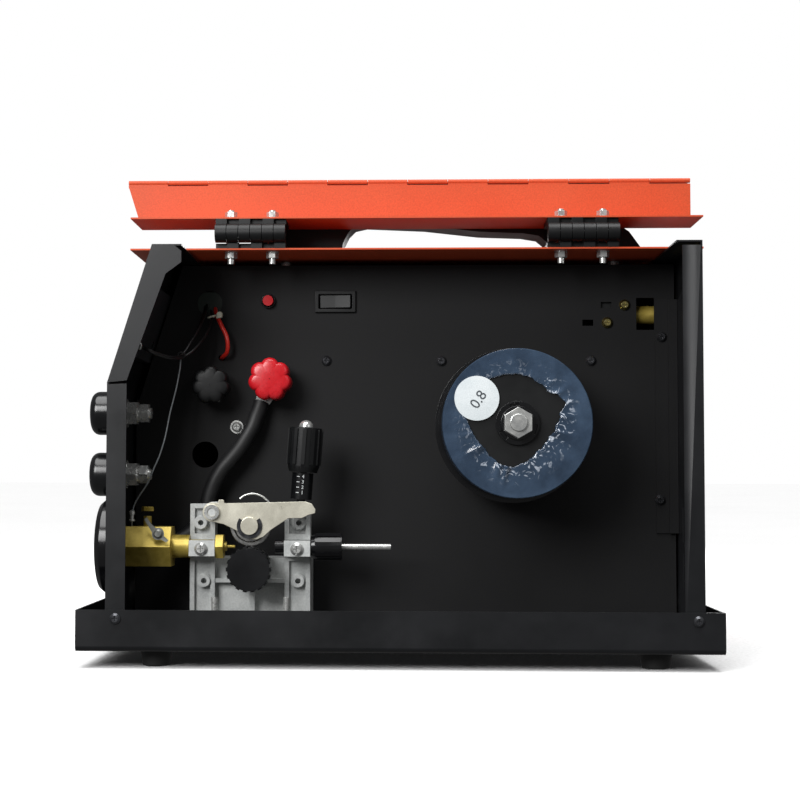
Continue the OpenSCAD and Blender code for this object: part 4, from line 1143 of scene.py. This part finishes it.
@dataclass
class Studio:
    """Camera, soft lights and the pale floor."""

    eye: Point = (0.0056, -1.205, 0.1199)
    yaw_deg: float = 2.209
    pitch_deg: float = 2.814
    roll_deg: float = 0.118
    lens_mm: float = 71.15
    shift: tuple[float, float] = (0.0684, 0.0025)
    ambient: float = 0.17
    # Name, place and aim in metres, side in metres, watts
    lamps: tuple[tuple[str, Point, Point, float, float], ...] = (
        ("key_box", (-0.85, -1.45, 0.85), (-0.05, -0.05, 0.17), 0.8, 26),
        ("fill_box", (1.3, -1.3, 1.0), (0, 0, 0.15), 0.8, 2.5),
        ("back_box", (0.2, 1.7, 0.9), (0, 0, 0.2), 1.0, 18))
    sun_strength: float = 3.1
    sun_spread_deg: float = 50
    sun_tilt_deg: tuple[float, float] = (16, -6)
    floor_reach_m: float = 60.0

    def camera(self) -> None:
        """Sets up the camera."""
        yaw, pitch, roll = (math.radians(a) for a in (self.yaw_deg, self.pitch_deg,
                                                      self.roll_deg))
        ahead = Vector((-math.sin(yaw) * math.cos(pitch), math.cos(yaw) * math.cos(pitch),
                        math.sin(pitch)))
        level = Vector((math.cos(yaw), math.sin(yaw), 0))
        above = level.cross(ahead)
        right = level * math.cos(roll) + above * math.sin(roll)
        top = above * math.cos(roll) - level * math.sin(roll)
        data = bpy.data.cameras.new("camera")
        data.lens = self.lens_mm
        data.sensor_width = 36.0
        data.shift_x, data.shift_y = self.shift
        data.clip_start = 0.05
        view = bpy.data.objects.new("camera", data)
        bpy.context.scene.collection.objects.link(view)
        view.matrix_world = Matrix.Translation(self.eye) @ Matrix(
            (right, top, -ahead)).transposed().to_4x4()
        bpy.context.scene.camera = view

    def _lamp(self, name: str, place: Point, aim: Point, size: float, watts: float) -> None:
        """Hangs one soft box.

        Args:
            name: its name.
            place: where it hangs, in metres.
            aim: the point that it faces.
            size: its side, in metres.
            watts: its power.
        """
        data = bpy.data.lights.new(name, "AREA")
        data.shape = "SQUARE"
        data.size = size
        data.energy = watts
        lamp = bpy.data.objects.new(name, data)
        bpy.context.scene.collection.objects.link(lamp)
        lamp.location = place
        lamp.rotation_mode = "QUATERNION"
        lamp.rotation_quaternion = (Vector(aim) - Vector(place)).to_track_quat("-Z", "Y")

    def room(self) -> None:
        """Lays the floor, hangs the lights and whitens the surroundings."""
        floor_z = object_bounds()[0].z
        mesh = bpy.data.meshes.new("floor")
        reach = self.floor_reach_m
        mesh.from_pydata([(-reach, -reach, floor_z), (reach, -reach, floor_z),
                          (reach, reach, floor_z), (-reach, reach, floor_z)], [],
                         [(0, 1, 2, 3)])
        floor = bpy.data.objects.new("floor", mesh)
        bpy.context.scene.collection.objects.link(floor)
        mesh.materials.append(PALE_BOARD.material())
        floor.visible_diffuse = False
        floor.visible_glossy = False
        floor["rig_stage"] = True
        for lamp in self.lamps:
            self._lamp(*lamp)
        sky = bpy.data.lights.new("ceiling", "SUN")
        sky.energy = self.sun_strength
        sky.angle = math.radians(self.sun_spread_deg)
        ceiling = bpy.data.objects.new("ceiling", sky)
        bpy.context.scene.collection.objects.link(ceiling)
        ceiling.rotation_euler = (*(math.radians(a) for a in self.sun_tilt_deg), 0)
        self._surroundings()

    def _surroundings(self) -> None:
        """Shows white all round, and lights the piece with only a share of it."""
        world = bpy.data.worlds.new("studio")
        world.use_nodes = True
        tree = world.node_tree
        tree.nodes.clear()
        ray = add_node(tree, "ShaderNodeLightPath")
        power = add_node(tree, "ShaderNodeMapRange", inputs={
            "Value": ray.outputs["Is Camera Ray"], "To Min": self.ambient, "To Max": 1.0})
        white = add_node(tree, "ShaderNodeBackground", inputs={
            "Color": linear("FFFFFF"), "Strength": power.outputs["Result"]})
        add_node(tree, "ShaderNodeOutputWorld", inputs={"Surface": white.outputs["Background"]})
        bpy.context.scene.world = world
        bpy.context.scene.view_settings.view_transform = "Standard"


def main() -> None:
    """Builds the studio and every assembly in order."""
    logging.basicConfig(level=logging.INFO, format="%(name)s: %(message)s")
    studio = Studio()
    studio.camera()
    for assembly in (Wiring(), CaseShell(), Door(), ControlPlate(), Connections(), Reel(),
                     WireFeeder(), Innards()):
        assembly.build()
        LOG.info("%s built", type(assembly).__name__)
    studio.room()


if __name__ == "__main__":
    main()
